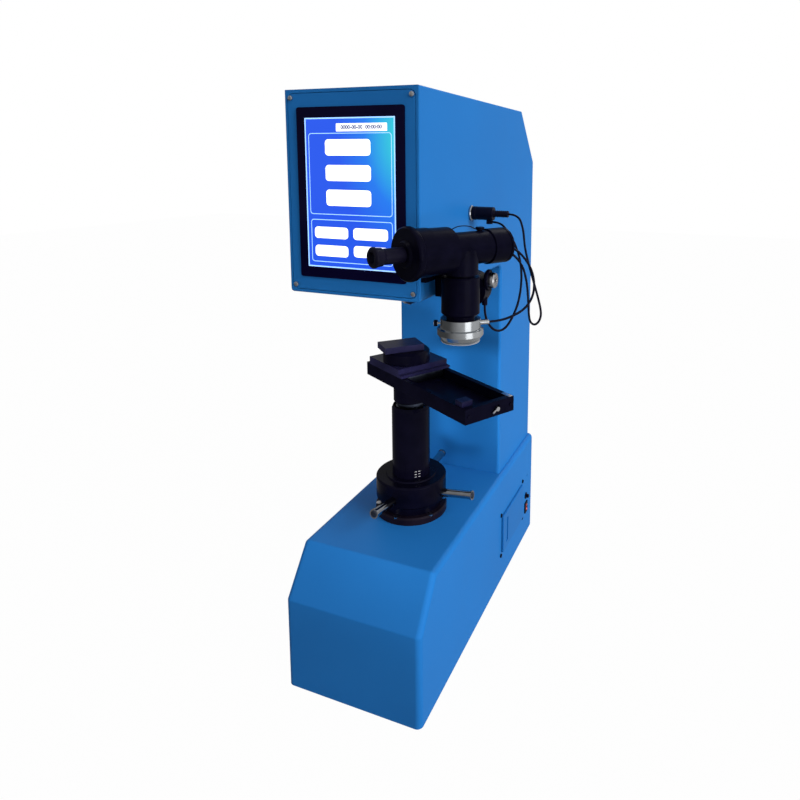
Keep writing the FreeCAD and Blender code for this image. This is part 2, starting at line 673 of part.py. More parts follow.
panel_z = (S.head_bottom + S.head_top) / 2
face_y = front + S.panel_thickness
panel_recess_tool = padded("panel_recess", "XZ_Plane",
                           rounded_box(S.panel_width + 2 * S.panel_groove,
                                       S.panel_height + 2 * S.panel_groove,
                                       S.panel_corner + S.panel_groove), S.panel_thickness + PAST)
put(panel_recess_tool, 0, face_y, panel_z)
screen_width = S.glass_width - 2 * S.screen_margin
screen_height = S.glass_height - 2 * S.screen_margin
screen_slack = 0.5
screen_window = block("screen_window",
                      (-screen_width / 2 - screen_slack, screen_width / 2 + screen_slack),
                      (front - PAST, front + wall + PAST),
                      (panel_z - screen_height / 2 - screen_slack, panel_z + screen_height / 2 + screen_slack))
rear_window = block("rear_window", (-S.rear_opening_width / 2, S.rear_opening_width / 2),
                    (S.column_back - wall - PAST, S.column_back + PAST),
                    (S.rear_opening_low, S.rear_opening_high))
guide_hole = rod("guide_hole", S.guide_radius + S.fit_gap, (0, SCREW_Y, S.head_bottom - PAST),
                 S.head_floor + 2 * PAST)
head_side = S.head_width / 2
socket_thread = S.plug_radius - 2
socket_hole = rod("socket_hole", socket_thread + S.fit_gap, (head_side - wall - PAST, -S.plug_y, S.plug_z),
                  wall + 2 * PAST, X)
panel_screw_x = S.panel_width / 2 - S.panel_screw_inset
panel_screw_z = S.panel_height / 2 - S.panel_screw_rise
panel_places = [(a * panel_screw_x, front, panel_z + b * panel_screw_z) for a in (-1, 1) for b in (-1, 1)]
rear_middle = (S.rear_opening_low + S.rear_opening_high) / 2
rear_half = (S.rear_opening_high - S.rear_opening_low) / 2
cover_face = S.column_back + S.cover_thickness
rear_places = [(a * (S.rear_opening_width + S.cover_overlap) / 2, cover_face,
                rear_middle + b * (rear_half + S.cover_overlap / 2))
               for a in (-1, 1) for b in (-1, 0, 1)]
bracket_face = head_side + S.wall_plate_thickness
bracket_places = [(bracket_face, y, z)
                  for y in (-S.wall_plate_front + 10, -S.wall_plate_back - 10)
                  for z in (S.wall_plate_step + 16, S.wall_plate_top - 8)]
bracket_screw_length = S.wall_plate_thickness + wall - 2
head_shell = cut("head_shell", head_outside, head_inside)
node(cut("head_cut", head_shell, panel_recess_tool, screen_window, rear_window, guide_hole, socket_hole,
         *screw_holes("column", bolt_places, -Z, S.column_bolt_radius, bolt_length),
         *screw_holes("panel", panel_places, Y, S.small_screw_radius, small_length),
         *screw_holes("rear", rear_places, -Y, S.small_screw_radius, small_length),
         *screw_holes("bracket", bracket_places, -X, S.bolt_radius, bracket_screw_length)),
     "column_housing")

rear_cover = padded("rear_cover_plate", "XZ_Plane",
                    rounded_box(S.rear_opening_width + 2 * S.cover_overlap,
                                2 * rear_half + 2 * S.cover_overlap, 4), S.cover_thickness)
put(rear_cover, 0, cover_face, rear_middle)
vent_count = 9
vents = [block("vent%d" % i, (-30, 30), (S.column_back - PAST, cover_face + PAST),
               (S.rear_opening_high - 60 - 9 * i, S.rear_opening_high - 56 - 9 * i))
         for i in range(vent_count)]
node(cut("rear_cover_cut", rear_cover, *vents,
         *screw_holes("rear_cover", rear_places, -Y, S.small_screw_radius, small_length)), "rear_cover")
side_cover = padded("side_cover_plate", "YZ_Plane",
                    rounded_box(S.side_panel_length, S.side_panel_height, 3),
                    S.cover_thickness + S.side_panel_rise)
round_edges(side_cover, S.side_panel_rise / 3,
            lambda edge: lies_at(edge, "X", S.cover_thickness + S.side_panel_rise), "Chamfer")
put(side_cover, side - S.cover_thickness, S.side_panel_y, S.side_panel_z)
slot_y = S.side_panel_y - S.side_panel_length / 2 + 20
panel_face = side + S.side_panel_rise
slot_end = 12
paper_slot = block("paper_slot", (panel_face - 1.5, panel_face + PAST), (slot_y - 5, slot_y + 5),
                   (S.side_panel_z - S.side_panel_height / 2 + slot_end,
                    S.side_panel_z + S.side_panel_height / 2 - slot_end))
node(cut("side_cover_cut", side_cover, paper_slot), "side_cover")
rear_screws = screw_set("rear_screws", rear_places, -Y, S.small_head_radius, S.small_head_height,
                        S.small_screw_radius, small_length)
side_screws = screw_set("side_screws", side_places, -X, S.small_head_radius, S.small_head_height,
                        S.small_screw_radius, small_length)

# Front panel, touch screen and its electronics
front_plate = padded("front_plate", "XZ_Plane",
                     rounded_box(S.panel_width, S.panel_height, S.panel_corner), S.panel_thickness)
put(front_plate, 0, face_y, panel_z)
node(cut("front_plate_cut", front_plate, screen_window,
         *screw_holes("front_plate", panel_places, Y, S.small_screw_radius, small_length)), "front_panel")
panel_screws = screw_set("panel_screws", panel_places, Y, S.small_head_radius, S.small_head_height,
                         S.small_screw_radius, small_length)
node(gather("cover_screw_sets", [rear_screws, side_screws, panel_screws]), "cover_screws")
glass = padded("glass", "XZ_Plane", rounded_box(S.glass_width, S.glass_height, 3), S.glass_thickness)
node(put(glass, 0, front, panel_z), "touch_glass")
screen_back = front + S.screen_depth
screen_unit = block("screen_unit", (-screen_width / 2, screen_width / 2), (front, screen_back),
                    (panel_z - screen_height / 2, panel_z + screen_height / 2))
board_y = screen_back + S.board_gap
board_half_width = screen_width / 2 - 6
board_half_height = screen_height / 2 - 12
standoffs = [rod("standoff%d" % i, 3, (a * (board_half_width - 5), screen_back - PAST,
                                      panel_z + b * (board_half_height - 5)), S.board_gap + PAST, Y)
             for i, (a, b) in enumerate(((-1, -1), (1, -1), (1, 1), (-1, 1)))]
node(fuse("screen_body", screen_unit, *standoffs), "lcd_module")
board_plate = block("board_plate", (-board_half_width, board_half_width),
                    (board_y, board_y + S.board_thickness),
                    (panel_z - board_half_height, panel_z + board_half_height))
chips = [block("chip%d" % i, (x, x + w), (board_y + S.board_thickness, board_y + S.board_thickness + d),
               (panel_z + z, panel_z + z + h))
         for i, (x, z, w, h, d) in enumerate((
             (-30, -10, 24, 24, 3), (10, 20, 16, 16, 3), (-48, -60, 18, 40, 11),
             (15, -64, 34, 14, 9), (-44, 48, 60, 10, 8)))]
node(fuse("board_body", board_plate, *chips), "control_board")
supply_back = S.column_front + wall + S.supply_depth
supply_foot = S.base_height + wall + S.supply_rise
node(block("supply", (-S.supply_width / 2, S.supply_width / 2), (S.column_front + wall, supply_back),
           (supply_foot, supply_foot + S.supply_height)), "power_supply")

# Guide flange, its screws and the thrust bearing on the base
bore = S.lead_screw_radius + S.screw_gap
flange_turned = turned("flange_turned", [
    (bore, S.base_height - S.flange_tube_length), (S.flange_tube_radius, S.base_height - S.flange_tube_length),
    (S.flange_tube_radius, S.base_height), (S.flange_radius, S.base_height),
    (S.flange_radius, flange_top - 2.5), (S.flange_radius - 1.5, flange_top),
    (bore, flange_top)])
put(flange_turned, 0, SCREW_Y, 0)
key_top = flange_top - 12
key_bottom = S.base_height - S.flange_tube_length + 6
key_slot = block("key_slot", (-S.keyway_width / 2, S.keyway_width / 2),
                 (SCREW_Y + bore - 2 * PAST, SCREW_Y + bore + 4), (key_bottom, key_top))
flange_wells = [rod("flange_well%d" % i, S.bolt_head_radius + 0.2, place, S.bolt_head_height + 2 * PAST)
                for i, place in enumerate(flange_places)]
node(cut("flange_cut", flange_turned, key_slot, *flange_wells,
         *screw_holes("flange_body", flange_places, -Z, S.bolt_radius, flange_screw_length)), "guide_flange")
flange_screws = screw_set("flange_screws", flange_places, -Z, S.bolt_head_radius, S.bolt_head_height,
                          S.bolt_radius, flange_screw_length)
node(block("key", (-S.keyway_width / 2, S.keyway_width / 2),
           (SCREW_Y + bore - S.keyway_depth + 0.6, SCREW_Y + bore + 4), (key_bottom, key_top)), "guide_key")
bearing_top = flange_top + S.bearing_height
bearing_middle = (S.bearing_inner + S.bearing_outer) / 2
node(put(turned("bearing", [
    (S.bearing_inner, flange_top), (S.bearing_outer, flange_top), (S.bearing_outer, flange_top + 2.5),
    (bearing_middle + 3, flange_top + 2.5), (bearing_middle + 3, bearing_top - 2.5),
    (S.bearing_outer, bearing_top - 2.5), (S.bearing_outer, bearing_top), (S.bearing_inner, bearing_top)]),
    0, SCREW_Y, 0), "thrust_bearing")

# Handwheel with its spokes, the sleeve that it drives and the nut in the sleeve
wheel_foot = flange_top + S.wheel_gap
wheel_body = turned("wheel_body", [
    (bore + 1, bearing_top), (S.bearing_outer + 0.5, bearing_top), (S.bearing_outer + 0.5, wheel_foot),
    (S.wheel_neck_radius, wheel_foot), (S.wheel_radius - 3, wheel_foot + S.wheel_neck_height - 2),
    (S.wheel_radius, wheel_foot + S.wheel_neck_height + 1), (S.wheel_radius, wheel_top - 2, 1.5),
    (S.wheel_radius - 2, wheel_top), (S.sleeve_radius + 10, wheel_top),
    (S.sleeve_radius + 9, wheel_top + 2), (S.sleeve_radius + S.fit_gap, wheel_top + 2),
    (S.sleeve_radius + S.fit_gap, sleeve_foot), (bore + 1, sleeve_foot)])
put(wheel_body, 0, SCREW_Y, 0)
spoke_root = S.wheel_radius - 14
spoke_lean = math.radians(S.spoke_rise.number)
spoke_directions = [Vector(math.cos(a) * math.cos(spoke_lean), math.sin(a) * math.cos(spoke_lean),
                           math.sin(spoke_lean))
                    for a in (math.radians(S.spoke_angle.number + 90 * i) for i in (-1, 0, 1))]


def spoke_parts(name, radius, start, end):
    return [rod("%s%d" % (name, i), radius,
                (start * d.x, SCREW_Y + start * d.y, spoke_height), end - start, d)
            for i, d in enumerate(spoke_directions)]


node(cut("wheel_cut", wheel_body,
         *spoke_parts("spoke_hole", S.spoke_radius + S.fit_gap, spoke_root, S.wheel_radius + 5)), "handwheel")
spokes = []
for i, direction in enumerate(spoke_directions):
    spoke = turned("spoke%d" % i, [
        (0, 0), (S.spoke_radius, 0), (S.spoke_radius, S.spoke_reach - spoke_root - 3),
        (S.spoke_radius + 0.8, S.spoke_reach - spoke_root - 3),
        (S.spoke_radius + 0.8, S.spoke_reach - spoke_root), (0, S.spoke_reach - spoke_root)])
    spokes.append(aim(spoke, direction, spoke_root * direction.x, SCREW_Y + spoke_root * direction.y,
                      spoke_height))
node(gather("spoke_set", spokes), "handwheel_spokes")
sleeve_bore = S.sleeve_radius - S.sleeve_wall
node(put(turned("sleeve", [
    (sleeve_bore, sleeve_foot), (S.sleeve_radius, sleeve_foot), (S.sleeve_radius, sleeve_top - 5),
    (S.sleeve_radius - 2.2, sleeve_top), (sleeve_bore, sleeve_top)]), 0, SCREW_Y, 0), "nut_sleeve")
node(put(turned("nut", [
    (bore, sleeve_top - S.nut_height), (sleeve_bore - S.fit_gap, sleeve_top - S.nut_height),
    (sleeve_bore - S.fit_gap, sleeve_top - 10), (bore, sleeve_top - 10)]), 0, SCREW_Y, 0), "elevating_nut")

# Elevating screw with its keyway and the spigot that the table turns on
spigot_top = boss_foot + S.spigot_height
screw_blank = turned("screw_blank", [
    (0, lead_screw_foot), (S.lead_screw_radius - 2, lead_screw_foot),
    (S.lead_screw_radius, lead_screw_foot + 2), (S.lead_screw_radius, boss_foot),
    (S.spigot_radius, boss_foot), (S.spigot_radius, spigot_top), (0, spigot_top)])
put(screw_blank, 0, SCREW_Y, 0)
keyway = block("keyway", (-S.keyway_width / 2 - 0.2, S.keyway_width / 2 + 0.2),
               (SCREW_Y + S.lead_screw_radius - S.keyway_depth, SCREW_Y + S.lead_screw_radius + PAST),
               (lead_screw_foot - PAST, S.base_height + 92))
node(cut("screw_cut", screw_blank, keyway), "elevating_screw")


def on_table(thing):
    """Turns a piece drawn along the rail into the rail's direction."""
    return turn_right(thing, S.rail_turn, 0, SCREW_Y, 0)


# Table: boss, rail with lips, end plates, stop and locking lever
node(on_table(turned("boss", [
    (S.spigot_radius + S.running_gap, boss_foot), (S.boss_radius, boss_foot),
    (S.boss_radius, rail_bottom), (0, rail_bottom), (0, spigot_top + 0.5),
    (S.spigot_radius + S.running_gap, spigot_top + 0.5)])), "table_boss")
rail_floor_z = rail_bottom + S.rail_floor
channel = S.rail_half_width - S.rail_lip
rail_profile = padded("rail_profile", "YZ_Plane", [
    (-S.rail_half_width, rail_bottom), (S.rail_half_width, rail_bottom), (S.rail_half_width, rail_top),
    (channel, rail_top), (channel, rail_floor_z), (-channel, rail_floor_z),
    (-channel, rail_top), (-S.rail_half_width, rail_top)], S.rail_front + S.rail_back - 2 * S.end_plate)
put(rail_profile, S.end_plate - S.rail_back, 0, 0)
plate_screw_y = S.rail_half_width - S.rail_lip / 2 - 1.5
plate_screw_z = (rail_bottom + rail_top) / 2
end_places = [(S.rail_front, a * plate_screw_y, plate_screw_z) for a in (-1, 1)]
rear_end_places = [(-S.rail_back, a * plate_screw_y, plate_screw_z) for a in (-1, 1)]
end_screw_length = S.end_plate + 8
end_head = 2.4
node(on_table(cut("rail_cut", rail_profile,
                  *screw_holes("rail_front", end_places, -X, S.small_screw_radius, end_screw_length),
                  *screw_holes("rail_rear", rear_end_places, X, S.small_screw_radius, end_screw_length))),
     "rail_body")
plate_y = (-S.rail_half_width, S.rail_half_width)
plate_z = (rail_bottom, rail_top)
lock_shank = 2
lock_bore = rod("lock_bore", lock_shank + S.running_gap,
                (S.rail_front - S.end_plate - PAST, S.lock_across, plate_screw_z), S.end_plate + 2 * PAST, X)
lock_recess = block("lock_recess", (S.rail_front - 2, S.rail_front + PAST),
                    (S.lock_across - 9, S.lock_across + 5), (plate_screw_z - 4.5, plate_screw_z + 4.5))
front_end_plate = cut("front_end_cut",
                      block("front_end", (S.rail_front - S.end_plate, S.rail_front), plate_y, plate_z),
                      lock_bore, lock_recess,
                      *screw_holes("front_end", end_places, -X, S.small_screw_radius, end_screw_length))
rear_end_plate = cut("rear_end_cut",
                     block("rear_end", (-S.rail_back, S.end_plate - S.rail_back), plate_y, plate_z),
                     *screw_holes("rear_end", rear_end_places, X, S.small_screw_radius, end_screw_length))
node(on_table(gather("end_plate_pair", [front_end_plate, rear_end_plate])), "rail_end_plates")
node(on_table(gather("end_screw_groups", [
    screw_set("front_end_screws", end_places, -X, end_head, 1.2, S.small_screw_radius, end_screw_length),
    screw_set("rear_end_screws", rear_end_places, X, end_head, 1.2, S.small_screw_radius, end_screw_length)])),
    "end_plate_screws")
stop_outer = -S.rail_half_width + 2
stop_block = block("stop_block", (S.stop_start, S.stop_start + S.stop_length),
                   (stop_outer, stop_outer + S.stop_width), (rail_top, rail_top + S.stop_height))
node(on_table(gather("stop_on_rail", [stop_block])), "end_stop")
lock_face = S.rail_front - 2 + S.slide_gap
lever_stem = rod("lever_stem", lock_shank, (S.rail_front - S.end_plate, S.lock_across, plate_screw_z),
                 S.end_plate, X)
lever_hub = rod("lever_hub", S.lock_radius, (lock_face, S.lock_across, plate_screw_z), 5, X)
lever_arm = rod("lever_arm", 1.2, (lock_face + 3, S.lock_across, plate_screw_z), 10, Vector(0.3, -0.9, -0.3))
node(on_table(fuse("lever_body", lever_hub, lever_stem, lever_arm)), "lock_lever")

# Carriage that slides on the rail, with its shoe in the channel
carriage_x = (-S.carriage_back, S.carriage_front)
carriage_bottom = rail_top + S.slide_gap
pedestal_shank = S.pedestal_radius / 3
carriage_plate = block("carriage_plate", carriage_x, (-S.carriage_half_width, S.carriage_half_width),
                       (carriage_bottom, carriage_top))
shoe_half = channel - S.slide_gap
carriage_shoe = block("shoe", (S.shoe_inset - S.carriage_back, S.carriage_front - S.shoe_inset),
                      (-shoe_half, shoe_half), (rail_floor_z + S.slide_gap, carriage_top))
apron = block("carriage_apron", (S.carriage_front - PAST, S.carriage_front + S.apron),
              (-S.carriage_half_width, S.carriage_half_width),
              (carriage_bottom, carriage_bottom + S.apron_thickness))
pedestal_seat = rod("pedestal_seat", pedestal_shank + S.fit_gap,
                    (S.pedestal_along, S.pedestal_across, carriage_top - 8), 8 + PAST)
node(on_table(cut("carriage_cut", fuse("carriage_body", carriage_plate, apron, carriage_shoe),
                  pedestal_seat)), "carriage")


def across(angle, along, sideways):
    """A point of the rail's own plane, in the part's frame."""
    x = along * cosine(angle) + sideways * sine(angle)
    y = SCREW_Y - along * sine(angle) + sideways * cosine(angle)
    return x, y


pedestal_x, pedestal_y = across(S.rail_turn, S.pedestal_along, S.pedestal_across)
pivot_radius = 8
pedestal = turned("pedestal_body", [
    (0, carriage_top - 8), (pedestal_shank, carriage_top - 8), (pedestal_shank, carriage_top),
    (S.pedestal_radius, carriage_top), (S.pedestal_radius, pedestal_top - 3),
    (S.pedestal_radius - 3, pedestal_top), (pivot_radius + S.running_gap, pedestal_top),
    (pivot_radius + S.running_gap, pedestal_top - 10), (0, pedestal_top - 10)])
node(put(pedestal, pedestal_x, pedestal_y, 0), "anvil_pedestal")
anvil_top = pedestal_top + S.anvil_thickness
anvil_slab = block("anvil_slab", (-S.anvil_width / 2, S.anvil_width / 2),
                   (-S.anvil_length / 2 - S.anvil_offset, S.anvil_length / 2 - S.anvil_offset),
                   (pedestal_top, anvil_top))
anvil_pivot = rod("anvil_pivot", pivot_radius, (0, 0, pedestal_top - 9.5), 9.5 + PAST)
node(turn_right(fuse("anvil_body", anvil_slab, anvil_pivot), S.anvil_turn, pedestal_x, pedestal_y, 0),
     "anvil_plate")

# Spindle with the indenter, load cell and crosshead
node(put(turned("spindle_body", [
    (0, S.spindle_foot - 12), (6, S.spindle_foot - 12), (6, S.spindle_foot),
    (S.spindle_radius, S.spindle_foot), (S.spindle_radius, S.spindle_top), (0, S.spindle_top)]),
    0, SCREW_Y, 0), "spindle")
holder_body = turned("holder_body", [
    (0, S.holder_foot), (S.holder_radius - 4, S.holder_foot), (S.holder_radius, S.holder_foot + 4),
    (S.holder_radius, S.spindle_foot), (6 + S.fit_gap, S.spindle_foot),
    (6 + S.fit_gap, S.spindle_foot - 12.2), (0, S.spindle_foot - 12.2)])
put(holder_body, 0, SCREW_Y, 0)
ball_centre = (0, SCREW_Y, S.holder_foot + 1.5)
ball_seat = ball("ball_seat", S.ball_radius + S.fit_gap, ball_centre)
node(cut("holder_cut", holder_body, ball_seat), "indenter_holder")
node(ball("indenter_sphere", S.ball_radius, ball_centre), "indenter_ball")
cell_top = S.spindle_top + S.cell_height
cell_block = block("cell_block", (-S.cell_side / 2, S.cell_side / 2),
                   (SCREW_Y - S.cell_side / 2 + 8, SCREW_Y + S.cell_side / 2 - 8), (S.spindle_top, cell_top))
cell_slots = [block("cell_slot%d" % i, x, (SCREW_Y - S.cell_side, SCREW_Y + S.cell_side), (z, z + 2.5))
              for i, (x, z) in enumerate((
                  ((-S.cell_side / 2 - PAST, S.cell_side / 2 - 9), S.spindle_top + 7),
                  ((9 - S.cell_side / 2, S.cell_side / 2 + PAST), cell_top - 9.5)))]
node(cut("cell_cut", cell_block, *cell_slots), "load_cell")
crosshead_top = cell_top + S.crosshead_height
crosshead_block = block("crosshead_block", (-S.crosshead_half_width, S.crosshead_half_width),
                        (SCREW_Y - S.crosshead_half_depth, SCREW_Y + S.crosshead_half_depth),
                        (cell_top, crosshead_top))
post_places = [(a * S.post_spread, SCREW_Y, S.head_bottom + S.head_floor + S.frame_plate) for a in (-1, 1)]
crosshead_bores = [rod("crosshead_bore%d" % i, S.post_radius + S.running_gap, (x, y, cell_top - PAST),
                       S.crosshead_height + 2 * PAST) for i, (x, y, z) in enumerate(post_places)]
nut_bore = rod("drive_nut_bore", S.drive_screw_radius + S.running_gap, (0, SCREW_Y, cell_top - PAST),
               S.crosshead_height + 2 * PAST)
node(cut("crosshead_cut", crosshead_block, nut_bore, *crosshead_bores), "crosshead")

# Loading frame in the head, with guide posts, spindle guide, bearing, motor and belt drive
frame_floor = S.head_bottom + S.head_floor
frame_front = SCREW_Y - S.frame_half_depth
frame_back = SCREW_Y + S.frame_half_depth
motor_y = SCREW_Y + S.motor_distance
frame_x = (-S.frame_half_width, S.frame_half_width)
frame_low_plate = block("frame_low_plate", frame_x, (frame_front, frame_back),
                        (frame_floor, frame_floor + S.frame_plate))
frame_sides = [block("frame_side%d" % i, x, (frame_front, frame_back), (frame_floor, S.frame_top + PAST))
               for i, x in enumerate(((-S.frame_half_width, S.frame_side - S.frame_half_width),
                                      (S.frame_half_width - S.frame_side, S.frame_half_width)))]
frame_high = S.frame_top + S.frame_top_plate
frame_high_plate = block("frame_high_plate", frame_x, (frame_front, motor_y + S.motor_side / 2 + 4),
                         (S.frame_top, frame_high))
bearing_radius = 2 * S.drive_screw_radius
frame_holes = [
    rod("frame_guide_hole", S.guide_flange_radius + S.fit_gap, (0, SCREW_Y, frame_floor - PAST),
        S.frame_plate + 2 * PAST),
    rod("frame_bearing_hole", bearing_radius + S.fit_gap, (0, SCREW_Y, S.frame_top - PAST),
        S.frame_top_plate + 2 * PAST),
    rod("frame_shaft_hole", 3 * S.motor_shaft_radius, (0, motor_y, S.frame_top - PAST),
        S.frame_top_plate + 2 * PAST)]
node(cut("frame_cut", fuse("frame_body", frame_low_plate, frame_high_plate, *frame_sides), *frame_holes),
     "loading_frame")
node(gather("post_pair", [rod("post%d" % i, S.post_radius, place, S.frame_top - place[2])
                          for i, place in enumerate(post_places)]), "guide_posts")
guide_bore = S.spindle_radius + S.running_gap
node(put(turned("guide_bush", [
    (guide_bore, S.head_bottom + 2), (S.guide_radius, S.head_bottom + 2), (S.guide_radius, frame_floor),
    (S.guide_flange_radius, frame_floor), (S.guide_flange_radius, frame_floor + 7),
    (S.spindle_radius + 7, frame_floor + 7), (S.spindle_radius + 7, frame_floor + 40),
    (guide_bore, frame_floor + 40)]), 0, SCREW_Y, 0), "spindle_guide")
screw_bore = S.drive_screw_radius + S.running_gap
node(put(turned("drive_bearing", [
    (screw_bore, S.frame_top), (bearing_radius, S.frame_top), (bearing_radius, frame_high),
    (screw_bore, frame_high)]), 0, SCREW_Y, 0), "screw_bearing")
pulley_top = S.pulley_foot + S.pulley_height
belt_low = S.pulley_foot + (S.pulley_height - S.belt_width) / 2


def pulley_profile(inner, radius):
    """A pulley's section: a belt seat between two rims."""
    rim = radius + S.pulley_rim
    low = belt_low - 0.4
    high = belt_low + S.belt_width + 0.4
    return [(inner, S.pulley_foot), (rim, S.pulley_foot), (rim, low), (radius, low), (radius, high),
            (rim, high), (rim, pulley_top), (inner, pulley_top)]


node(put(turned("drive_screw_body", [
    (0, cell_top + 2), (S.drive_screw_radius, cell_top + 2), (S.drive_screw_radius, S.frame_top - 6),
    (S.drive_screw_radius + 5, S.frame_top - 6), (S.drive_screw_radius + 5, S.frame_top - 0.3),
    (S.drive_screw_radius, S.frame_top - 0.3), (S.drive_screw_radius, pulley_top + 4), (0, pulley_top + 4)]),
    0, SCREW_Y, 0), "drive_screw")
node(put(turned("big_pulley", pulley_profile(S.drive_screw_radius + S.fit_gap, S.big_pulley_radius)),
         0, SCREW_Y, 0), "driven_pulley")
small_pulley = pulley_profile(0, S.small_pulley_radius)
node(put(turned("small_pulley", [
    (0, S.frame_top), (S.motor_shaft_radius, S.frame_top), (S.motor_shaft_radius, S.pulley_foot)]
    + small_pulley[1:7] + [(0, pulley_top)]), 0, motor_y, 0), "motor_pulley")
motor_box = block("motor_box", (-S.motor_side / 2, S.motor_side / 2),
                  (motor_y - S.motor_side / 2, motor_y + S.motor_side / 2),
                  (S.frame_top - S.motor_length, S.frame_top - S.fit_gap))
shaft_room = rod("shaft_room", S.motor_shaft_radius + 2, (0, motor_y, S.frame_top - PAST), 2 * PAST)
node(cut("motor_cut", motor_box, shaft_room), "loading_motor")


def belt_face(big, small):
    """The area inside a belt line round both pulleys, in the plane z = 0."""
    gap = number_of(S.motor_distance)
    lean = math.asin((big - small) / gap)
    side_x = math.cos(lean)
    side_y = math.sin(lean)
    y_big = number_of(SCREW_Y)
    y_small = number_of(motor_y)
    right = (Vector(big * side_x, y_big + big * side_y, 0), Vector(small * side_x, y_small + small * side_y, 0))
    left = [Vector(-p.x, p.y, 0) for p in right]
    edges = [Part.LineSegment(right[0], right[1]).toShape(),
             Part.Arc(right[1], Vector(0, y_small + small, 0), left[1]).toShape(),
             Part.LineSegment(left[1], left[0]).toShape(),
             Part.Arc(left[0], Vector(0, y_big - big, 0), right[0]).toShape()]
    return Part.Face(Part.Wire(edges))


belt_slack = number_of(S.slide_gap)
belt_inner = [number_of(r) + belt_slack for r in (S.big_pulley_radius, S.small_pulley_radius)]
belt_outer = [r + number_of(S.belt_thickness) for r in belt_inner]
belt = doc.addObject("Part::Feature", "belt")
belt.Shape = belt_face(*belt_outer).cut(belt_face(*belt_inner)).extrude(Z * number_of(S.belt_width))
belt.Placement = Placement(Vector(0, 0, number_of(belt_low)), Rotation())
node(belt, "drive_belt")

# Microscope: bracket casting on the head's side
tube_top = S.scope_z - S.prism_radius - S.focus_room
scope_direction = Vector(math.cos(math.radians(S.scope_turn.number)),
                         math.sin(math.radians(S.scope_turn.number)), 0)
SCOPE_Y = -S.scope_y


def along_scope(distance, sideways=0):
    """A point behind (or ahead of, when negative) the tube's axis along the microscope's body."""
    x = S.scope_x + distance * cosine(S.scope_turn) + sideways * sine(S.scope_turn)
    y = SCOPE_Y + distance * sine(S.scope_turn) - sideways * cosine(S.scope_turn)
    return x, y


def in_scope(thing):
    """Turns a piece drawn along +Y, from the tube's axis, into the microscope's direction."""
    return turn_right(thing, 90 - S.scope_turn, S.scope_x, SCOPE_Y, 0)


plate_corner = 6
arm_low = S.arm_z - S.arm_radius
arm_high = S.arm_z + S.arm_radius
plate_foot = arm_low + S.arm_foot
wall_plate = padded("wall_plate", "YZ_Plane", [
    (-S.wall_plate_front, plate_foot), (-S.wall_plate_back, plate_foot),
    (-S.wall_plate_back, S.wall_plate_top), (-S.wall_plate_reach, S.wall_plate_top),
    (-S.wall_plate_reach, S.wall_plate_ledge), (front + 2, S.wall_plate_ledge),
    (front + 2, S.wall_plate_step), (-S.wall_plate_front, S.wall_plate_step, plate_corner)],
    S.wall_plate_thickness)
put(wall_plate, head_side, 0, 0)
arm_bar = block("arm_bar", (head_side, S.arm_x), (-S.arm_front, -S.arm_back), (plate_foot, arm_high))
arm_end = rod("arm_end", S.arm_radius, (S.arm_x, -S.arm_front, S.arm_z), S.arm_front - S.arm_back, Y)
tube_blank = turned("tube_blank", [
    (0, S.tube_foot), (S.tube_radius - 3, S.tube_foot), (S.tube_radius, S.tube_foot + 3),
    (S.tube_radius, tube_top - 1), (S.tube_radius - 1, tube_top), (0, tube_top)])
put(tube_blank, S.scope_x, SCOPE_Y, 0)
tube_web = block("tube_web", (S.scope_x - 12, S.scope_x + 12), (SCOPE_Y, -S.arm_front + PAST),
                 (arm_low + 4, arm_high - 2))
tube_bore = rod("tube_bore", S.barrel_radius + S.running_gap, (S.scope_x, SCOPE_Y, S.tube_foot - PAST),
                tube_top - S.tube_foot + 2 * PAST)
pinion_radius = 3
pinion_bore = rod("pinion_bore", pinion_radius + S.running_gap, (S.arm_x, -S.knob_y, S.knob_z),
                  S.arm_radius + 2 * PAST, X)
knob_seat = 18.9
knob_recess = rod("knob_recess", S.coarse_radius + 0.5, (S.arm_x + knob_seat, -S.knob_y, S.knob_z),
                  S.arm_radius, X)
gland_x = S.arm_x + 17
gland_y = -(S.arm_front + S.arm_back) / 2
gland_low = arm_low + 2
lead_gland = rod("lead_gland", 3.5, (gland_x, gland_y, gland_low), 10)
node(cut("bracket_cut", fuse("bracket_body", wall_plate, arm_bar, arm_end, tube_blank, tube_web, lead_gland),
         tube_bore, pinion_bore, knob_recess,
         *screw_holes("bracket_plate", bracket_places, -X, S.bolt_radius, bracket_screw_length)),
     "microscope_bracket")
bracket_screws = screw_set("bracket_screws", bracket_places, -X, S.bolt_head_radius, S.bolt_head_height,
                           S.bolt_radius, bracket_screw_length)
node(gather("machine_screw_sets", [foot_screws, flange_screws, bracket_screws]), "machine_screws")
knob_face = knob_seat + S.slide_gap
focus_turned = turned("focus_turned", [
    (0, 0), (pinion_radius, 0), (pinion_radius, knob_face), (S.coarse_radius - 1, knob_face),
    (S.coarse_radius, knob_face + 1), (S.coarse_radius, knob_face + 3.5),
    (S.coarse_radius - 1, knob_face + 4.5), (S.fine_radius, knob_face + 4.5),
    (S.fine_radius, knob_face + 11), (S.fine_radius - 1, knob_face + 12), (0, knob_face + 12)])
node(aim(focus_turned, X, S.arm_x, -S.knob_y, S.knob_z), "focus_knobs")

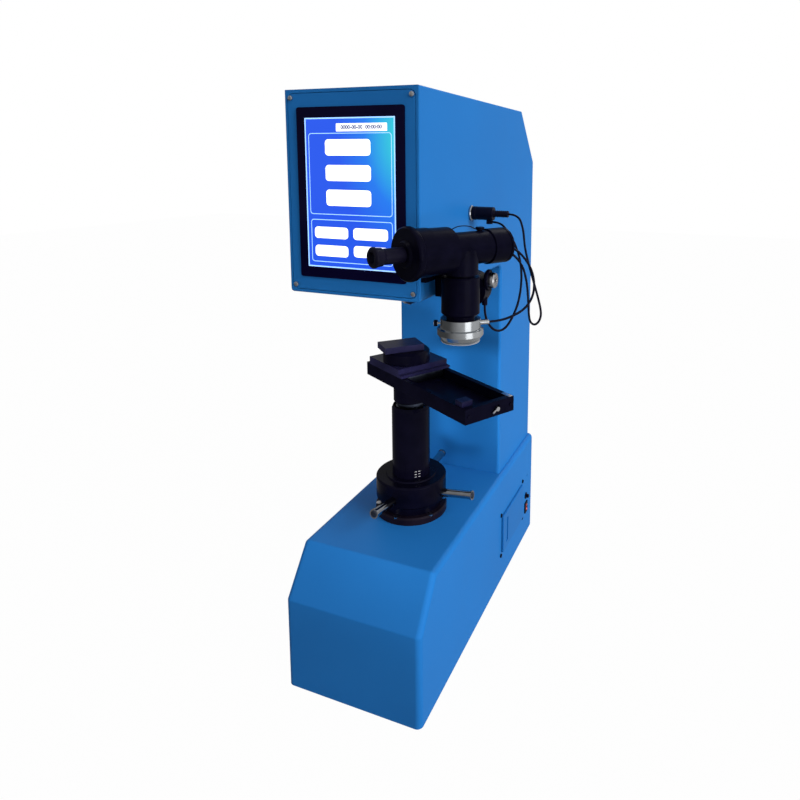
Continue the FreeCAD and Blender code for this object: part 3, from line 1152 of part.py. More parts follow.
# Microscope: barrel and prism block, illuminator, measuring ring, eyepiece and ring light
barrel = rod("barrel", S.barrel_radius, (0, 0, S.barrel_foot), S.scope_z - S.barrel_foot)
objective_bore = rod("objective_bore", 11, (0, 0, S.barrel_foot - PAST), 24 + PAST)
body_profile = [
    (0, -S.prism_front), (S.prism_radius, -S.prism_front), (S.prism_radius, -S.prism_step),
    (S.prism_radius - 0.8, -S.prism_step), (S.prism_radius - 0.8, -S.prism_back),
    (S.body_radius, S.prism_cone - S.prism_back), (S.body_radius, S.lamp_start), (0, S.lamp_start)]
body_tube = aim(turned("body_tube", body_profile), Y, 0, 0, S.scope_z)
knob_along = 29.5
knob_foot = S.scope_z + S.body_radius - 1
top_knob_post = rod("top_knob_post", 3, (0, knob_along, knob_foot), 3)
top_knob = rod("top_knob", 5.5, (0, knob_along, knob_foot + 2.5), 3)
collar = rod("collar", S.collar_radius, (0, 0, tube_top + S.focus_gap), S.scope_z - tube_top - S.focus_gap)
scope_body = fuse("scope_solid", barrel, collar, body_tube, top_knob_post, top_knob)
node(in_scope(cut("scope_cut", scope_body, objective_bore)), "microscope_body")
lamp_length = S.lamp_end - S.lamp_start
lamp = turned("lamp", [
    (0, 0), (S.lamp_radius - 0.6, 0), (S.lamp_radius, 0.6), (S.lamp_radius, lamp_length - 7),
    (S.lamp_radius - 0.7, lamp_length - 7), (S.lamp_radius - 0.7, lamp_length - 5.5),
    (S.lamp_radius, lamp_length - 5.5), (S.lamp_radius, lamp_length - 2),
    (S.lamp_radius - 2, lamp_length), (0, lamp_length)])
node(aim(lamp, scope_direction, *along_scope(S.lamp_start), S.scope_z), "illuminator")
toward_eye = scope_direction.negative()
disc_start = S.prism_front + S.slide_gap
eye_bore = S.eye_tube_radius + S.running_gap
disc_profile = [
    (eye_bore, 0), (S.ring_disc_radius - 1.5, 0), (S.ring_disc_radius, 1.5),
    (S.ring_disc_radius, S.ring_disc_thickness - 1.5), (S.ring_disc_radius - 1.5, S.ring_disc_thickness),
    (S.eye_tube_radius + 7, S.ring_disc_thickness), (S.eye_tube_radius + 5, S.ring_disc_thickness + 3),
    (eye_bore, S.ring_disc_thickness + 3)]
node(aim(turned("ring_disc", disc_profile), toward_eye, *along_scope(-disc_start), S.scope_z),
     "measuring_ring")
eye_length = S.eye_end - S.prism_front
node(aim(turned("eye", [
    (0, 0), (S.eye_tube_radius, 0), (S.eye_tube_radius, eye_length - 14),
    (S.eye_tube_radius + 1.2, eye_length - 12), (S.eye_tube_radius + 2.5, eye_length - 1.5),
    (S.eye_tube_radius + 1, eye_length), (S.eye_tube_radius - 2, eye_length),
    (S.eye_tube_radius - 3.5, eye_length - 5), (0, eye_length - 5)]),
    toward_eye, *along_scope(-S.prism_front), S.scope_z), "eyepiece")
light_turned = turned("light_turned", [
    (S.light_mouth, S.light_foot), (S.light_mouth + 2, S.light_foot), (S.light_radius, S.light_chamfer),
    (S.light_radius, S.light_step), (S.light_neck_radius, S.light_step + 1),
    (S.light_neck_radius, S.barrel_foot), (12, S.barrel_foot), (12, S.barrel_foot - 4),
    (S.light_mouth, S.light_step - 4)])
put(light_turned, S.scope_x, SCOPE_Y, 0)
connector_turn = 36
connector_way = Vector(math.cos(math.radians(connector_turn)), math.sin(math.radians(connector_turn)), 0)
connector_z = S.light_step + 5.5
connector_start = S.light_neck_radius - 4
connector_length = 15
connector = rod("connector", 3.2, (S.scope_x + connector_start * connector_way.x,
                                   SCOPE_Y + connector_start * connector_way.y, connector_z),
                connector_length, connector_way)
thumb_way = Vector(-0.94, -0.34, 0)
thumb_stem = rod("thumb_stem", 1.5, (S.scope_x + connector_start * thumb_way.x,
                                     SCOPE_Y + connector_start * thumb_way.y, connector_z), 9, thumb_way)
thumb_head = rod("thumb_head", 3.6, (S.scope_x + (connector_start + 7) * thumb_way.x,
                                     SCOPE_Y + (connector_start + 7) * thumb_way.y, connector_z), 5, thumb_way)
node(fuse("light_body", light_turned, connector, thumb_stem, thumb_head), "ring_light")
node(put(turned("objective_body", [
    (0, S.barrel_foot - 3), (9, S.barrel_foot - 3), (11 - S.fit_gap, S.barrel_foot + 1),
    (11 - S.fit_gap, S.barrel_foot + 24), (0, S.barrel_foot + 24)]), S.scope_x, SCOPE_Y, 0), "objective")

# Socket and plug on the head's side, and the three thin leads
ring_out = 3.5
node(aim(turned("socket", [
    (0, -wall), (socket_thread, -wall), (socket_thread, 0), (S.plug_ring_radius, 0),
    (S.plug_ring_radius, ring_out - 1), (S.plug_ring_radius - 1, ring_out), (0, ring_out)]),
    X, head_side, -S.plug_y, S.plug_z), "plug_socket")
plug_start = head_side + ring_out
barrel_length = S.plug_end - plug_start
plug_barrel = rod("plug_barrel", S.plug_radius, (plug_start, -S.plug_y, S.plug_z), barrel_length, X)
boot = aim(turned("boot", [
    (0, 0), (S.boot_radius + 1.5, 0), (S.boot_radius, 4), (S.boot_radius, S.boot_end - S.plug_end),
    (0, S.boot_end - S.plug_end)]), X, S.plug_end, -S.plug_y, S.plug_z)
stub_z = S.plug_z - S.plug_radius - 2.5
stub_end = S.plug_end - 2
plug_stub = block("plug_stub", (stub_end - 8, stub_end), (-S.plug_y - 2.4, 2.4 - S.plug_y),
                  (stub_z - 3, S.plug_z - S.plug_radius / 2))
node(fuse("plug_body", plug_barrel, boot, plug_stub), "cable_plug")


def lead_path(points):
    """Straight runs joined by tangent arcs, each as large as its two runs allow."""
    edges = []
    at = points[0]
    for before, corner, after in zip(points, points[1:], points[2:]):
        arriving = corner - before
        leaving = after - corner
        reach = 0.45 * min(arriving.Length, leaving.Length)
        start = corner - arriving.normalize() * reach
        end = corner + leaving.normalize() * reach
        half = arriving.getAngle(leaving) / 2
        radius = reach / math.tan(half)
        print("  turn %.0f radius %.1f" % (2 * math.degrees(half), radius))
        inward = (leaving - arriving).normalize()
        middle = corner + inward * (radius / math.cos(half) - radius)
        edges.append(Part.LineSegment(at, start).toShape())
        edges.append(Part.Arc(start, middle, end).toShape())
        at = end
    edges.append(Part.LineSegment(at, points[-1]).toShape())
    return Part.Wire(edges)


def lead(label, points):
    print(label)
    radius = number_of(S.lead_radius)
    path = lead_path(points)
    ring = Part.Wire(Part.Circle(points[0], points[1] - points[0], radius).toShape())
    solid = path.makePipeShell([ring], True, False)
    print("  volume ratio %.4f" % (solid.Volume / (path.Length * math.pi * radius ** 2)))
    feature = doc.addObject("Part::Feature", label + "_tube")
    feature.Shape = solid
    return node(feature, label)


def point(x, y, z):
    return Vector(number_of(x), number_of(y), number_of(z))


lamp_face_x, lamp_face_y = along_scope(S.lamp_end, -4)
lamp_lead_end = point(lamp_face_x, lamp_face_y, S.scope_z - 10)
lead("lamp_lead", [
    point(S.boot_end, -S.plug_y, S.plug_z), point(S.boot_end + 14, -S.plug_y, S.plug_z),
    Vector(175, -77, 639), Vector(182, -92, 613), Vector(194, -104, 585), Vector(206, -112, 556),
    Vector(214, -118, 534), Vector(213, -121, 523), Vector(207, -122, 516), Vector(200, -122, 519),
    Vector(198, -122, 530), Vector(197, -122, 548), Vector(195, -123, 573), Vector(190, -128, 597),
    lamp_lead_end + scope_direction * 14, lamp_lead_end])
stub_lead_start = point(stub_end, -S.plug_y, stub_z)
gland_foot = point(gland_x, gland_y, gland_low)
lead("bracket_lead", [
    stub_lead_start, stub_lead_start + X * 12, Vector(154, -78, 633), Vector(169, -92, 617),
    Vector(181, -106, 597), Vector(187, -120, 574), Vector(188, -134, 550), Vector(184, -148, 530),
    Vector(176, -160, 515), Vector(165, -171, 517), gland_foot - Z * 16, gland_foot])
connector_end = connector_start + connector_length
ring_lead_start = point(S.scope_x + connector_end * connector_way.x,
                        SCOPE_Y + connector_end * connector_way.y, connector_z)
ring_face_x, ring_face_y = along_scope(S.lamp_end, 7)
ring_lead_end = point(ring_face_x, ring_face_y, S.scope_z - 4)
lead("ring_lead", [
    ring_lead_start, ring_lead_start + connector_way * 14, Vector(194, -176, 540), Vector(206, -166, 548),
    Vector(213, -156, 562), Vector(212, -147, 580), Vector(204, -141, 599),
    ring_lead_end + scope_direction * 13, ring_lead_end])

# Mains switch and fuse holder on the base's right side
switch_frame_out = 2.5
switch_frame = block("switch_frame", (side, side + switch_frame_out),
                     (S.switch_y - S.switch_width / 2, S.switch_y + S.switch_width / 2),
                     (S.switch_z - S.switch_height / 2, S.switch_z + S.switch_height / 2))
case_half_width = switch_body_width / 2 - S.fit_gap
case_half_height = switch_body_height / 2 - S.fit_gap
switch_case = block("switch_case", (side - 22, side + PAST),
                    (S.switch_y - case_half_width, S.switch_y + case_half_width),
                    (S.switch_z - case_half_height, S.switch_z + case_half_height))
rocker_room = block("rocker_room", (side - 8, side + switch_frame_out + PAST),
                    (S.switch_y - switch_body_width / 2 + 2, S.switch_y + switch_body_width / 2 - 2),
                    (S.switch_z - switch_body_height / 2 + 2, S.switch_z + switch_body_height / 2 - 2))
pin_radius = 1.2
pin_reach = switch_body_width / 2 - 1
pin_bore = rod("pin_bore", pin_radius + S.running_gap, (side - 1, S.switch_y - pin_reach - 0.2, S.switch_z),
               2 * pin_reach + 0.4, Y)
node(cut("switch_cut", fuse("switch_solid", switch_frame, switch_case), rocker_room, pin_bore), "switch_body")
rocker_half = switch_body_height / 2 - 3
rocker = padded("rocker", "XZ_Plane", [
    (-4, -rocker_half + 2), (2, -rocker_half), (4.6, -rocker_half + 0.5), (2.2, 0),
    (4.6, rocker_half - 0.5), (2, rocker_half), (-4, rocker_half - 2)], switch_body_width - 5)
put(rocker, side - 1, S.switch_y + (switch_body_width - 5) / 2, S.switch_z)
rocker_pin = rod("rocker_pin", pin_radius, (side - 1, S.switch_y - pin_reach, S.switch_z), 2 * pin_reach, Y)
node(fuse("rocker_body", rocker, rocker_pin), "switch_rocker")
node(aim(turned("fuse_holder", [
    (0, -24), (inlet_radius, -24), (inlet_radius, 0), (inlet_radius + 2, 0), (inlet_radius + 2, 2),
    (inlet_radius - 0.5, 2), (inlet_radius - 0.5, 6), (inlet_radius - 1.5, 7), (0, 7)]),
    X, side, S.switch_y, S.inlet_z), "fuse_holder")

doc.recompute()


def check_document():
    """Stops the build if any object failed."""
    faults = []
    for thing in doc.Objects:
        if "Invalid" in thing.State or "Error" in thing.State:
            faults.append("%s (%s): %s" % (thing.Name, thing.Label, thing.State))
    for thing in NODES:
        if thing.Shape.isNull() or not thing.Shape.isValid() or not thing.Shape.Solids:
            faults.append("%s: bad shape" % thing.Label)
    if faults:
        raise RuntimeError("; ".join(faults))


check_document()
os.makedirs("parts", exist_ok=True)
for thing in NODES:
    thing.Shape.exportStep("parts/%s.step" % thing.Label)
print("%d sub-parts, %d solids" % (len(NODES), sum(len(t.Shape.Solids) for t in NODES)))
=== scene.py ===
# %% [markdown]
# # A bench hardness tester
# The tester presses a ball into a test piece and a microscope measures the dent. It is a painted C-shaped
# casting with a touch screen, a black elevating screw with a long table, and a black microscope on its side.
# The solids and the joints come from the CAD model. This script gives them their finishes, adds the details
# that are too fine for the solids, and sets the light and the camera.

# %% Load the frame
import bpy
import bmesh
import math
from mathutils import Euler, Matrix, Vector


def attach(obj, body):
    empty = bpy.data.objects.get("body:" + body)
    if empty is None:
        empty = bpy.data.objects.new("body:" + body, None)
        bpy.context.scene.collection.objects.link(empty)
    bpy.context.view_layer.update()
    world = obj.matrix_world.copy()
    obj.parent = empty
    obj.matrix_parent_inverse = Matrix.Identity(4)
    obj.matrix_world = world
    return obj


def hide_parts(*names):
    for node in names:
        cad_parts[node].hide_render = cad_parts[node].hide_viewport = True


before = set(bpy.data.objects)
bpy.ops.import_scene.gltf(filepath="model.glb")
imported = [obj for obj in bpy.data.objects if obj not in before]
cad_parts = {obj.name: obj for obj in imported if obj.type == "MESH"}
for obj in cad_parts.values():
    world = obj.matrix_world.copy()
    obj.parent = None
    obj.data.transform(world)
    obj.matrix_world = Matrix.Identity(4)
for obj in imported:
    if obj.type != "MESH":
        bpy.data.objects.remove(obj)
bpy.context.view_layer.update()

# %% [markdown]
# The picture was taken by a wide lens close to the tester, a little above it and to its right. Its place and
# its focal length were solved from the straight edges of the base and the head. The middle of the lens isn't
# the middle of the picture, so the camera is shifted rather than turned: turning it would make the upright
# edges lean.

# %% Camera
lens = bpy.data.cameras.new("photo_camera")
lens.lens = 28.331
lens.sensor_width = 36
lens.shift_x = -0.0938
lens.shift_y = -0.1859
lens.clip_start = 0.01
camera = bpy.data.objects.new("photo_camera", lens)
camera.location = (0.42110, -0.90333, 0.72815)
camera.rotation_euler = (1.42992, -0.00687, 0.36703)
bpy.context.scene.collection.objects.link(camera)
bpy.context.scene.camera = camera
bpy.context.scene.view_settings.view_transform = "Standard"
print("camera at", [round(c, 3) for c in camera.location], "lens", round(lens.lens, 1))

# %% [markdown]
# Every finish is one Principled shader with a little unevenness. A painted casting is never quite flat: its
# colour drifts over a hand's breadth and its gloss shows a fine orange peel. Both come from noise read in
# object coordinates, so the pattern stays on the piece when the piece moves. One flat colour would look like
# plastic, and an image would need a file and blur close up; noise does neither. The constant values sit on
# the shader itself, because an export keeps them only there.


# %% A finish with drifting colour and a fine bump
def finish(name, dark, light, roughness, metallic=0.0, patch=25, grain=600, bump=0.05, coat=0.0, spread=0.08,
           specular=0.5):
    """One surface finish: colour between dark and light in patches, roughness around a value, fine bump."""
    material = bpy.data.materials.new(name)
    material.use_nodes = True
    nodes = material.node_tree.nodes
    link = material.node_tree.links.new
    shader = nodes["Principled BSDF"]
    shader.inputs["Metallic"].default_value = metallic
    shader.inputs["Coat Weight"].default_value = coat
    shader.inputs["Coat Roughness"].default_value = 0.15
    shader.inputs["Specular IOR Level"].default_value = specular
    place = nodes.new("ShaderNodeTexCoord")
    drift = nodes.new("ShaderNodeTexNoise")
    drift.inputs["Scale"].default_value = patch
    drift.inputs["Detail"].default_value = 6
    link(place.outputs["Object"], drift.inputs["Vector"])
    colours = nodes.new("ShaderNodeValToRGB")
    colours.color_ramp.elements[0].position = 0.3
    colours.color_ramp.elements[0].color = (*dark, 1)
    colours.color_ramp.elements[1].position = 0.7
    colours.color_ramp.elements[1].color = (*light, 1)
    link(drift.outputs["Fac"], colours.inputs["Fac"])
    link(colours.outputs["Color"], shader.inputs["Base Color"])
    gloss = nodes.new("ShaderNodeMapRange")
    gloss.inputs["To Min"].default_value = max(roughness - spread, 0.02)
    gloss.inputs["To Max"].default_value = roughness + spread
    link(drift.outputs["Fac"], gloss.inputs["Value"])
    link(gloss.outputs["Result"], shader.inputs["Roughness"])
    fine = nodes.new("ShaderNodeTexNoise")
    fine.inputs["Scale"].default_value = grain
    fine.inputs["Detail"].default_value = 3
    link(place.outputs["Object"], fine.inputs["Vector"])
    relief = nodes.new("ShaderNodeBump")
    relief.inputs["Strength"].default_value = bump
    relief.inputs["Distance"].default_value = 0.0004
    link(fine.outputs["Fac"], relief.inputs["Height"])
    link(relief.outputs["Normal"], shader.inputs["Normal"])
    return material


def stretch(material, scale):
    """Draws a finish's fine grain out into lines, as turning or brushing leaves them."""
    tree = material.node_tree
    grain = [n for n in tree.nodes if n.bl_idname == "ShaderNodeTexNoise"][1]
    lines = tree.nodes.new("ShaderNodeMapping")
    lines.inputs["Scale"].default_value = scale
    tree.links.new(grain.inputs["Vector"].links[0].from_socket, lines.inputs["Vector"])
    tree.links.new(lines.outputs["Vector"], grain.inputs["Vector"])
    grain.inputs["Scale"].default_value = 40
    return material


# %% [markdown]
# The casting has one blue paint, and its service cover a slightly darker one. The black parts are anodised,
# blackened or plastic, and differ in gloss and in how blue their black is. Bright parts are ground, turned or
# plated: the grain of the first two runs in lines. A colour is written as it looks under plain light, so the
# blacks are very dark, and their gloss is low: a strong one would turn them grey in front of a white wall.

# %% The finishes
body_paint = finish("body_paint", (0.0125, 0.136, 0.410), (0.0145, 0.148, 0.440), 0.45, patch=7, grain=420,
                    bump=0.12, specular=0.06)
cover_paint = finish("cover_paint", (0.0110, 0.118, 0.362), (0.0128, 0.130, 0.392), 0.42, patch=9, grain=420,
                     bump=0.10, specular=0.06)
# the guide flange's black carries a reddish-brown tint that is a painted reflection
flange_black_painted_reflection = finish("flange_black_painted_reflection", (0.0036, 0.0024, 0.0058), (0.0078, 0.0050, 0.0098), 0.36, patch=50,
                    grain=1500, bump=0.12, specular=0.09)
black_paint = finish("black_anodised", (0.0012, 0.0011, 0.0050), (0.0022, 0.0020, 0.0080), 0.30, patch=60,
                     grain=2500, bump=0.05, specular=0.03)
black_steel = finish("blackened_steel", (0.0012, 0.0011, 0.0045), (0.0022, 0.0020, 0.0070), 0.24, patch=45,
                     bump=0.04, specular=0.045)
stretch(black_steel, (1, 1, 40))
anodised_blue = finish("worn_anodising", (0.0040, 0.0038, 0.0170), (0.0130, 0.0120, 0.0430), 0.32, patch=24,
                       grain=2000, bump=0.05, specular=0.12)
worn_steel = finish("worn_steel", (0.045, 0.055, 0.085), (0.085, 0.100, 0.140), 0.32, metallic=1.0, patch=70,
                    bump=0.04)
bright_steel = stretch(finish("ground_steel", (0.42, 0.42, 0.44), (0.60, 0.60, 0.62), 0.27, metallic=1.0,
                              patch=30, bump=0.03), (1, 1, 40))
chrome = finish("chrome", (0.28, 0.29, 0.31), (0.38, 0.39, 0.41), 0.08, metallic=1.0, patch=80, grain=300,
                bump=0.01, spread=0.03)
turned_aluminium = stretch(finish("turned_aluminium", (0.38, 0.40, 0.42), (0.50, 0.52, 0.54), 0.20,
                                  metallic=1.0, patch=40, bump=0.05), (60, 60, 1))
bronze = finish("bronze", (0.50, 0.30, 0.10), (0.62, 0.40, 0.16), 0.35, metallic=1.0, patch=60)
black_plastic = finish("black_plastic", (0.0028, 0.0024, 0.0085), (0.0048, 0.0042, 0.0120), 0.36, patch=90,
                       grain=1800, bump=0.10, specular=0.08)
red_plastic = finish("red_rocker", (0.42, 0.008, 0.014), (0.55, 0.014, 0.020), 0.22, patch=120, grain=900,
                     bump=0.02, coat=0.4)
rubber = finish("lead_rubber", (0.0026, 0.0022, 0.0080), (0.0042, 0.0038, 0.0110), 0.42, patch=150, grain=2500,
                bump=0.08, specular=0.10)
board_green = finish("board_green", (0.010, 0.10, 0.035), (0.015, 0.15, 0.05), 0.35, patch=90, grain=900)
screen_glass = finish("screen_glass", (0.0018, 0.0010, 0.0150), (0.0028, 0.0018, 0.0220), 0.08, patch=15,
                      grain=200, bump=0.0, spread=0.02, specular=0.06)
white_paint = finish("marking_paint", (0.55, 0.56, 0.60), (0.72, 0.73, 0.76), 0.5, patch=300, grain=900)
lens_glass = finish("lens_glass", (0.0040, 0.0060, 0.0160), (0.0075, 0.0100, 0.0240), 0.05, patch=120,
                    grain=300, bump=0.0, coat=0.6, spread=0.02)
print("finishes", len(bpy.data.materials))

# %% [markdown]
# The CAD nodes keep their shapes, and each takes the finish of what it is made of. They could be dressed one
# by one, but a list of finishes shows at a glance what is made of what, and the line under it finds a node that
# was forgotten.

# %% Finishes of the CAD nodes
WEARS = {
    body_paint: "base_housing column_housing front_panel rear_cover",
    cover_paint: "side_cover",
    flange_black_painted_reflection: "guide_flange",
    black_paint: "microscope_bracket microscope_body illuminator measuring_ring focus_knobs rail_body "
                 "rail_end_plates loading_motor objective",
    black_steel: "handwheel nut_sleeve elevating_screw table_boss end_plate_screws anvil_pedestal",
    anodised_blue: "carriage end_stop anvil_plate",
    bright_steel: "base_plate machine_screws lock_lever column_bolts cover_screws guide_key thrust_bearing "
                  "guide_posts screw_bearing spindle indenter_holder indenter_ball drive_screw lcd_module",
    chrome: "handwheel_spokes plug_socket",
    turned_aluminium: "ring_light loading_frame load_cell crosshead driven_pulley motor_pulley power_supply",
    bronze: "spindle_guide elevating_nut",
    black_plastic: "eyepiece cable_plug switch_body fuse_holder drive_belt",
    red_plastic: "switch_rocker",
    rubber: "lamp_lead ring_lead bracket_lead",
    board_green: "control_board",
    screen_glass: "touch_glass",
}
for material, names in WEARS.items():
    for name in names.split():
        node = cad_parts[name]
        node.data.materials.clear()
        node.data.materials.append(material)
bare = [name for name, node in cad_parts.items() if node.data.materials[0] not in WEARS]
print("finishes worn", len(WEARS), "nodes without one", bare)

# %% [markdown]
# A new piece is made from a bmesh and put in the scene with its finish and the CAD body that it rides on.
# The helper below does that for all of them. It shades a piece
# smooth but keeps the sharper edges sharp, so that turned parts look round and their corners crisp.


# %% Turn a bmesh into a piece
SHARP_ANGLE = math.radians(35)


def piece(name, mesh, material, body):
    """Makes a bmesh into an object that wears a finish and rides on a body."""
    data = bpy.data.meshes.new(name)
    bmesh.ops.recalc_face_normals(mesh, faces=mesh.faces)
    mesh.to_mesh(data)
    mesh.free()
    for face in data.polygons:
        face.use_smooth = True
    data.set_sharp_from_angle(angle=SHARP_ANGLE)
    data.materials.append(material)
    thing = bpy.data.objects.new(name, data)
    bpy.context.scene.collection.objects.link(thing)
    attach(thing, body)
    return thing


# %% [markdown]
# The display glows behind black-edged glass. A lit picture on a real screen is flat light, so each area is a
# thin plate with an emitting finish, just proud of the glass: a blue field, pale outlines and white buttons.
# An image on one sheet could show the same, but shapes stay crisp at any distance. The plates are rounded
# rectangles: a grid of one face whose corners are bevelled.

# %% The screen's field
GLASS_Y = -0.2350


def glow(name, colour, strength):
    """A lit surface of one tint with a faint pixel unevenness."""
    material = finish(name, colour, colour, 0.3, patch=900, bump=0.0)
    shader = material.node_tree.nodes["Principled BSDF"]
    shader.inputs["Emission Color"].default_value = (*colour, 1)
    shader.inputs["Emission Strength"].default_value = strength
    return material


def rounded_plate(middle_x, middle_z, width, height, radius, lift):
    """A flat rounded rectangle in front of the glass, facing the front."""
    mesh = bmesh.new()
    bmesh.ops.create_grid(mesh, x_segments=1, y_segments=1, size=0.5)
    bmesh.ops.scale(mesh, vec=(width, height, 1), verts=mesh.verts)
    if radius:
        bmesh.ops.bevel(mesh, geom=mesh.verts[:], offset=radius, segments=6, profile=0.5, affect="VERTICES",
                        material=-1)
    bmesh.ops.rotate(mesh, cent=(0, 0, 0), matrix=Matrix.Rotation(math.pi / 2, 3, "X"), verts=mesh.verts)
    bmesh.ops.translate(mesh, vec=(middle_x, GLASS_Y - lift, middle_z), verts=mesh.verts)
    return mesh


# %% [markdown]
# The field's colour is a ball-shaped gradient, stretched over the screen. Its middle lies near the upper right
# corner, where the field is green, and past its edge the field is deep blue. Colours could also be kept on the
# corners of the mesh, but a field of one face has only four, and the change would look like a tent.

# %% The field's light
SCREEN_W, SCREEN_H, SCREEN_Z = 0.1265, 0.1860, 0.6878
field_light = finish("screen_field", (0, 0, 0), (0, 0, 0), 0.2, patch=10, bump=0.0)
tree = field_light.node_tree
shader = tree.nodes["Principled BSDF"]
where = tree.nodes.new("ShaderNodeTexCoord")
lean = tree.nodes.new("ShaderNodeMapping")
lean.vector_type = "TEXTURE"
lean.inputs["Location"].default_value = (0.078, 0, 0.757)
lean.inputs["Scale"].default_value = (0.095, 1000, 0.145)
ball_shade = tree.nodes.new("ShaderNodeTexGradient")
ball_shade.gradient_type = "SPHERICAL"
tints = tree.nodes.new("ShaderNodeValToRGB")
tints.color_ramp.elements[0].color = (0.018, 0.10, 0.86, 1)
tints.color_ramp.elements[1].color = (0.04, 0.78, 0.66, 1)
middle_tint = tints.color_ramp.elements.new(0.4)
middle_tint.color = (0.015, 0.20, 0.88, 1)
tree.links.new(where.outputs["Object"], lean.inputs["Vector"])
tree.links.new(lean.outputs["Vector"], ball_shade.inputs["Vector"])
tree.links.new(ball_shade.outputs["Fac"], tints.inputs["Fac"])
tree.links.new(tints.outputs["Color"], shader.inputs["Emission Color"])
shader.inputs["Emission Strength"].default_value = 1.0
white_light = glow("screen_white", (0.93, 0.95, 1.0), 1.0)
line_light = glow("screen_lines", (0.30, 0.54, 1.0), 1.0)
piece("screen_field", rounded_plate(0, SCREEN_Z, SCREEN_W, SCREEN_H, 0, 0.00015), field_light, "root")
print("screen", SCREEN_W, "by", SCREEN_H)

# %% [markdown]
# On the field lie a thin outline round the screen, two rounded frames, seven buttons and the clock's box. An
# outline is a rounded plate whose face is inset and whose middle is then taken out. An inset keeps the line
# equally wide all round, which a smaller plate laid on a larger one wouldn't.

# %% Outlines and buttons on the screen
PLATE_LIFT = 0.0003
FRAME_RADIUS, FRAME_WIDTH = 0.004, 0.0009
BUTTON_RADIUS = 0.0045
CLOCK_X, CLOCK_Z = 0.0175, 0.7687


def outline(name, left, right, low, high, radius, width):
    """A thin frame on the screen, from its sides, its corners' radius and its line's width."""
    mesh = rounded_plate((left + right) / 2, (low + high) / 2, right - left, high - low, radius, PLATE_LIFT)
    rim = bmesh.ops.inset_region(mesh, faces=mesh.faces[:], thickness=width, use_even_offset=True,
                                 use_boundary=True)
    inner = [face for face in mesh.faces if face not in rim["faces"]]
    bmesh.ops.delete(mesh, geom=inner, context="FACES")
    return piece(name, mesh, line_light, "root")


half_w, half_h = SCREEN_W / 2, SCREEN_H / 2
outline("screen_edge_line", -half_w, half_w, SCREEN_Z - half_h, SCREEN_Z + half_h, 0, 0.0016)
outline("screen_upper_frame", -0.0582, 0.0588, 0.6618, 0.7622, FRAME_RADIUS, FRAME_WIDTH)
outline("screen_lower_frame", -0.0575, 0.0588, 0.6015, 0.6556, FRAME_RADIUS, FRAME_WIDTH)
BUTTONS = [(-0.0342, 0.0299, 0.7348, 0.7545), (-0.0342, 0.0300, 0.7037, 0.7233),
           (-0.0340, 0.0299, 0.6730, 0.6930),
           (-0.0523, -0.0036, 0.6318, 0.6462), (0.0038, 0.0523, 0.6318, 0.6464),
           (-0.0521, -0.0038, 0.6089, 0.6230), (0.0040, 0.0523, 0.6100, 0.6242)]
for count, (left, right, low, high) in enumerate(BUTTONS):
    plate = rounded_plate((left + right) / 2, (low + high) / 2, right - left, high - low, BUTTON_RADIUS,
                          PLATE_LIFT)
    piece("screen_button_%d" % count, plate, white_light, "root")
clock = rounded_plate(CLOCK_X, CLOCK_Z, 0.0705, 0.0095, 0.0006, PLATE_LIFT)
piece("screen_clock_box", clock, white_light, "root")
print("buttons", len(BUTTONS))

# %% [markdown]
# The clock box shows plain figures. They could be traced by hand, but Blender has a font of its own. Text is a
# curve there, so it becomes a mesh before it is put in its place.


# %% Figures and other small text
def lettering(name, words, size, place, turn, material, body, thickness=0.00005, bold=0.0002):
    """Plain figures as a mesh piece: place is the middle of the words, turn is an Euler."""
    curve = bpy.data.curves.new(name + "_curve", "FONT")
    curve.body = words
    curve.size = size
    curve.align_x = "CENTER"
    curve.align_y = "CENTER"
    curve.extrude = thickness
    curve.offset = bold
    text = bpy.data.objects.new(name + "_curve", curve)
    bpy.context.scene.collection.objects.link(text)
    data = bpy.data.meshes.new_from_object(text.evaluated_get(bpy.context.evaluated_depsgraph_get()))
    bpy.data.objects.remove(text)
    data.transform(Matrix.Translation(place) @ Euler(turn).to_matrix().to_4x4())
    data.materials.clear()
    data.materials.append(material)
    thing = bpy.data.objects.new(name, data)
    bpy.context.scene.collection.objects.link(thing)
    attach(thing, body)
    return thing


clock_grey = glow("clock_figures", (0.04, 0.05, 0.14), 0.8)
figures = lettering("screen_clock", "0000-00-00  00:00:00", 0.0066, (CLOCK_X, GLASS_Y - 0.0005, CLOCK_Z),
                    (math.pi / 2, 0, 0), clock_grey, "root")
print("clock figures", len(figures.data.polygons), "faces")
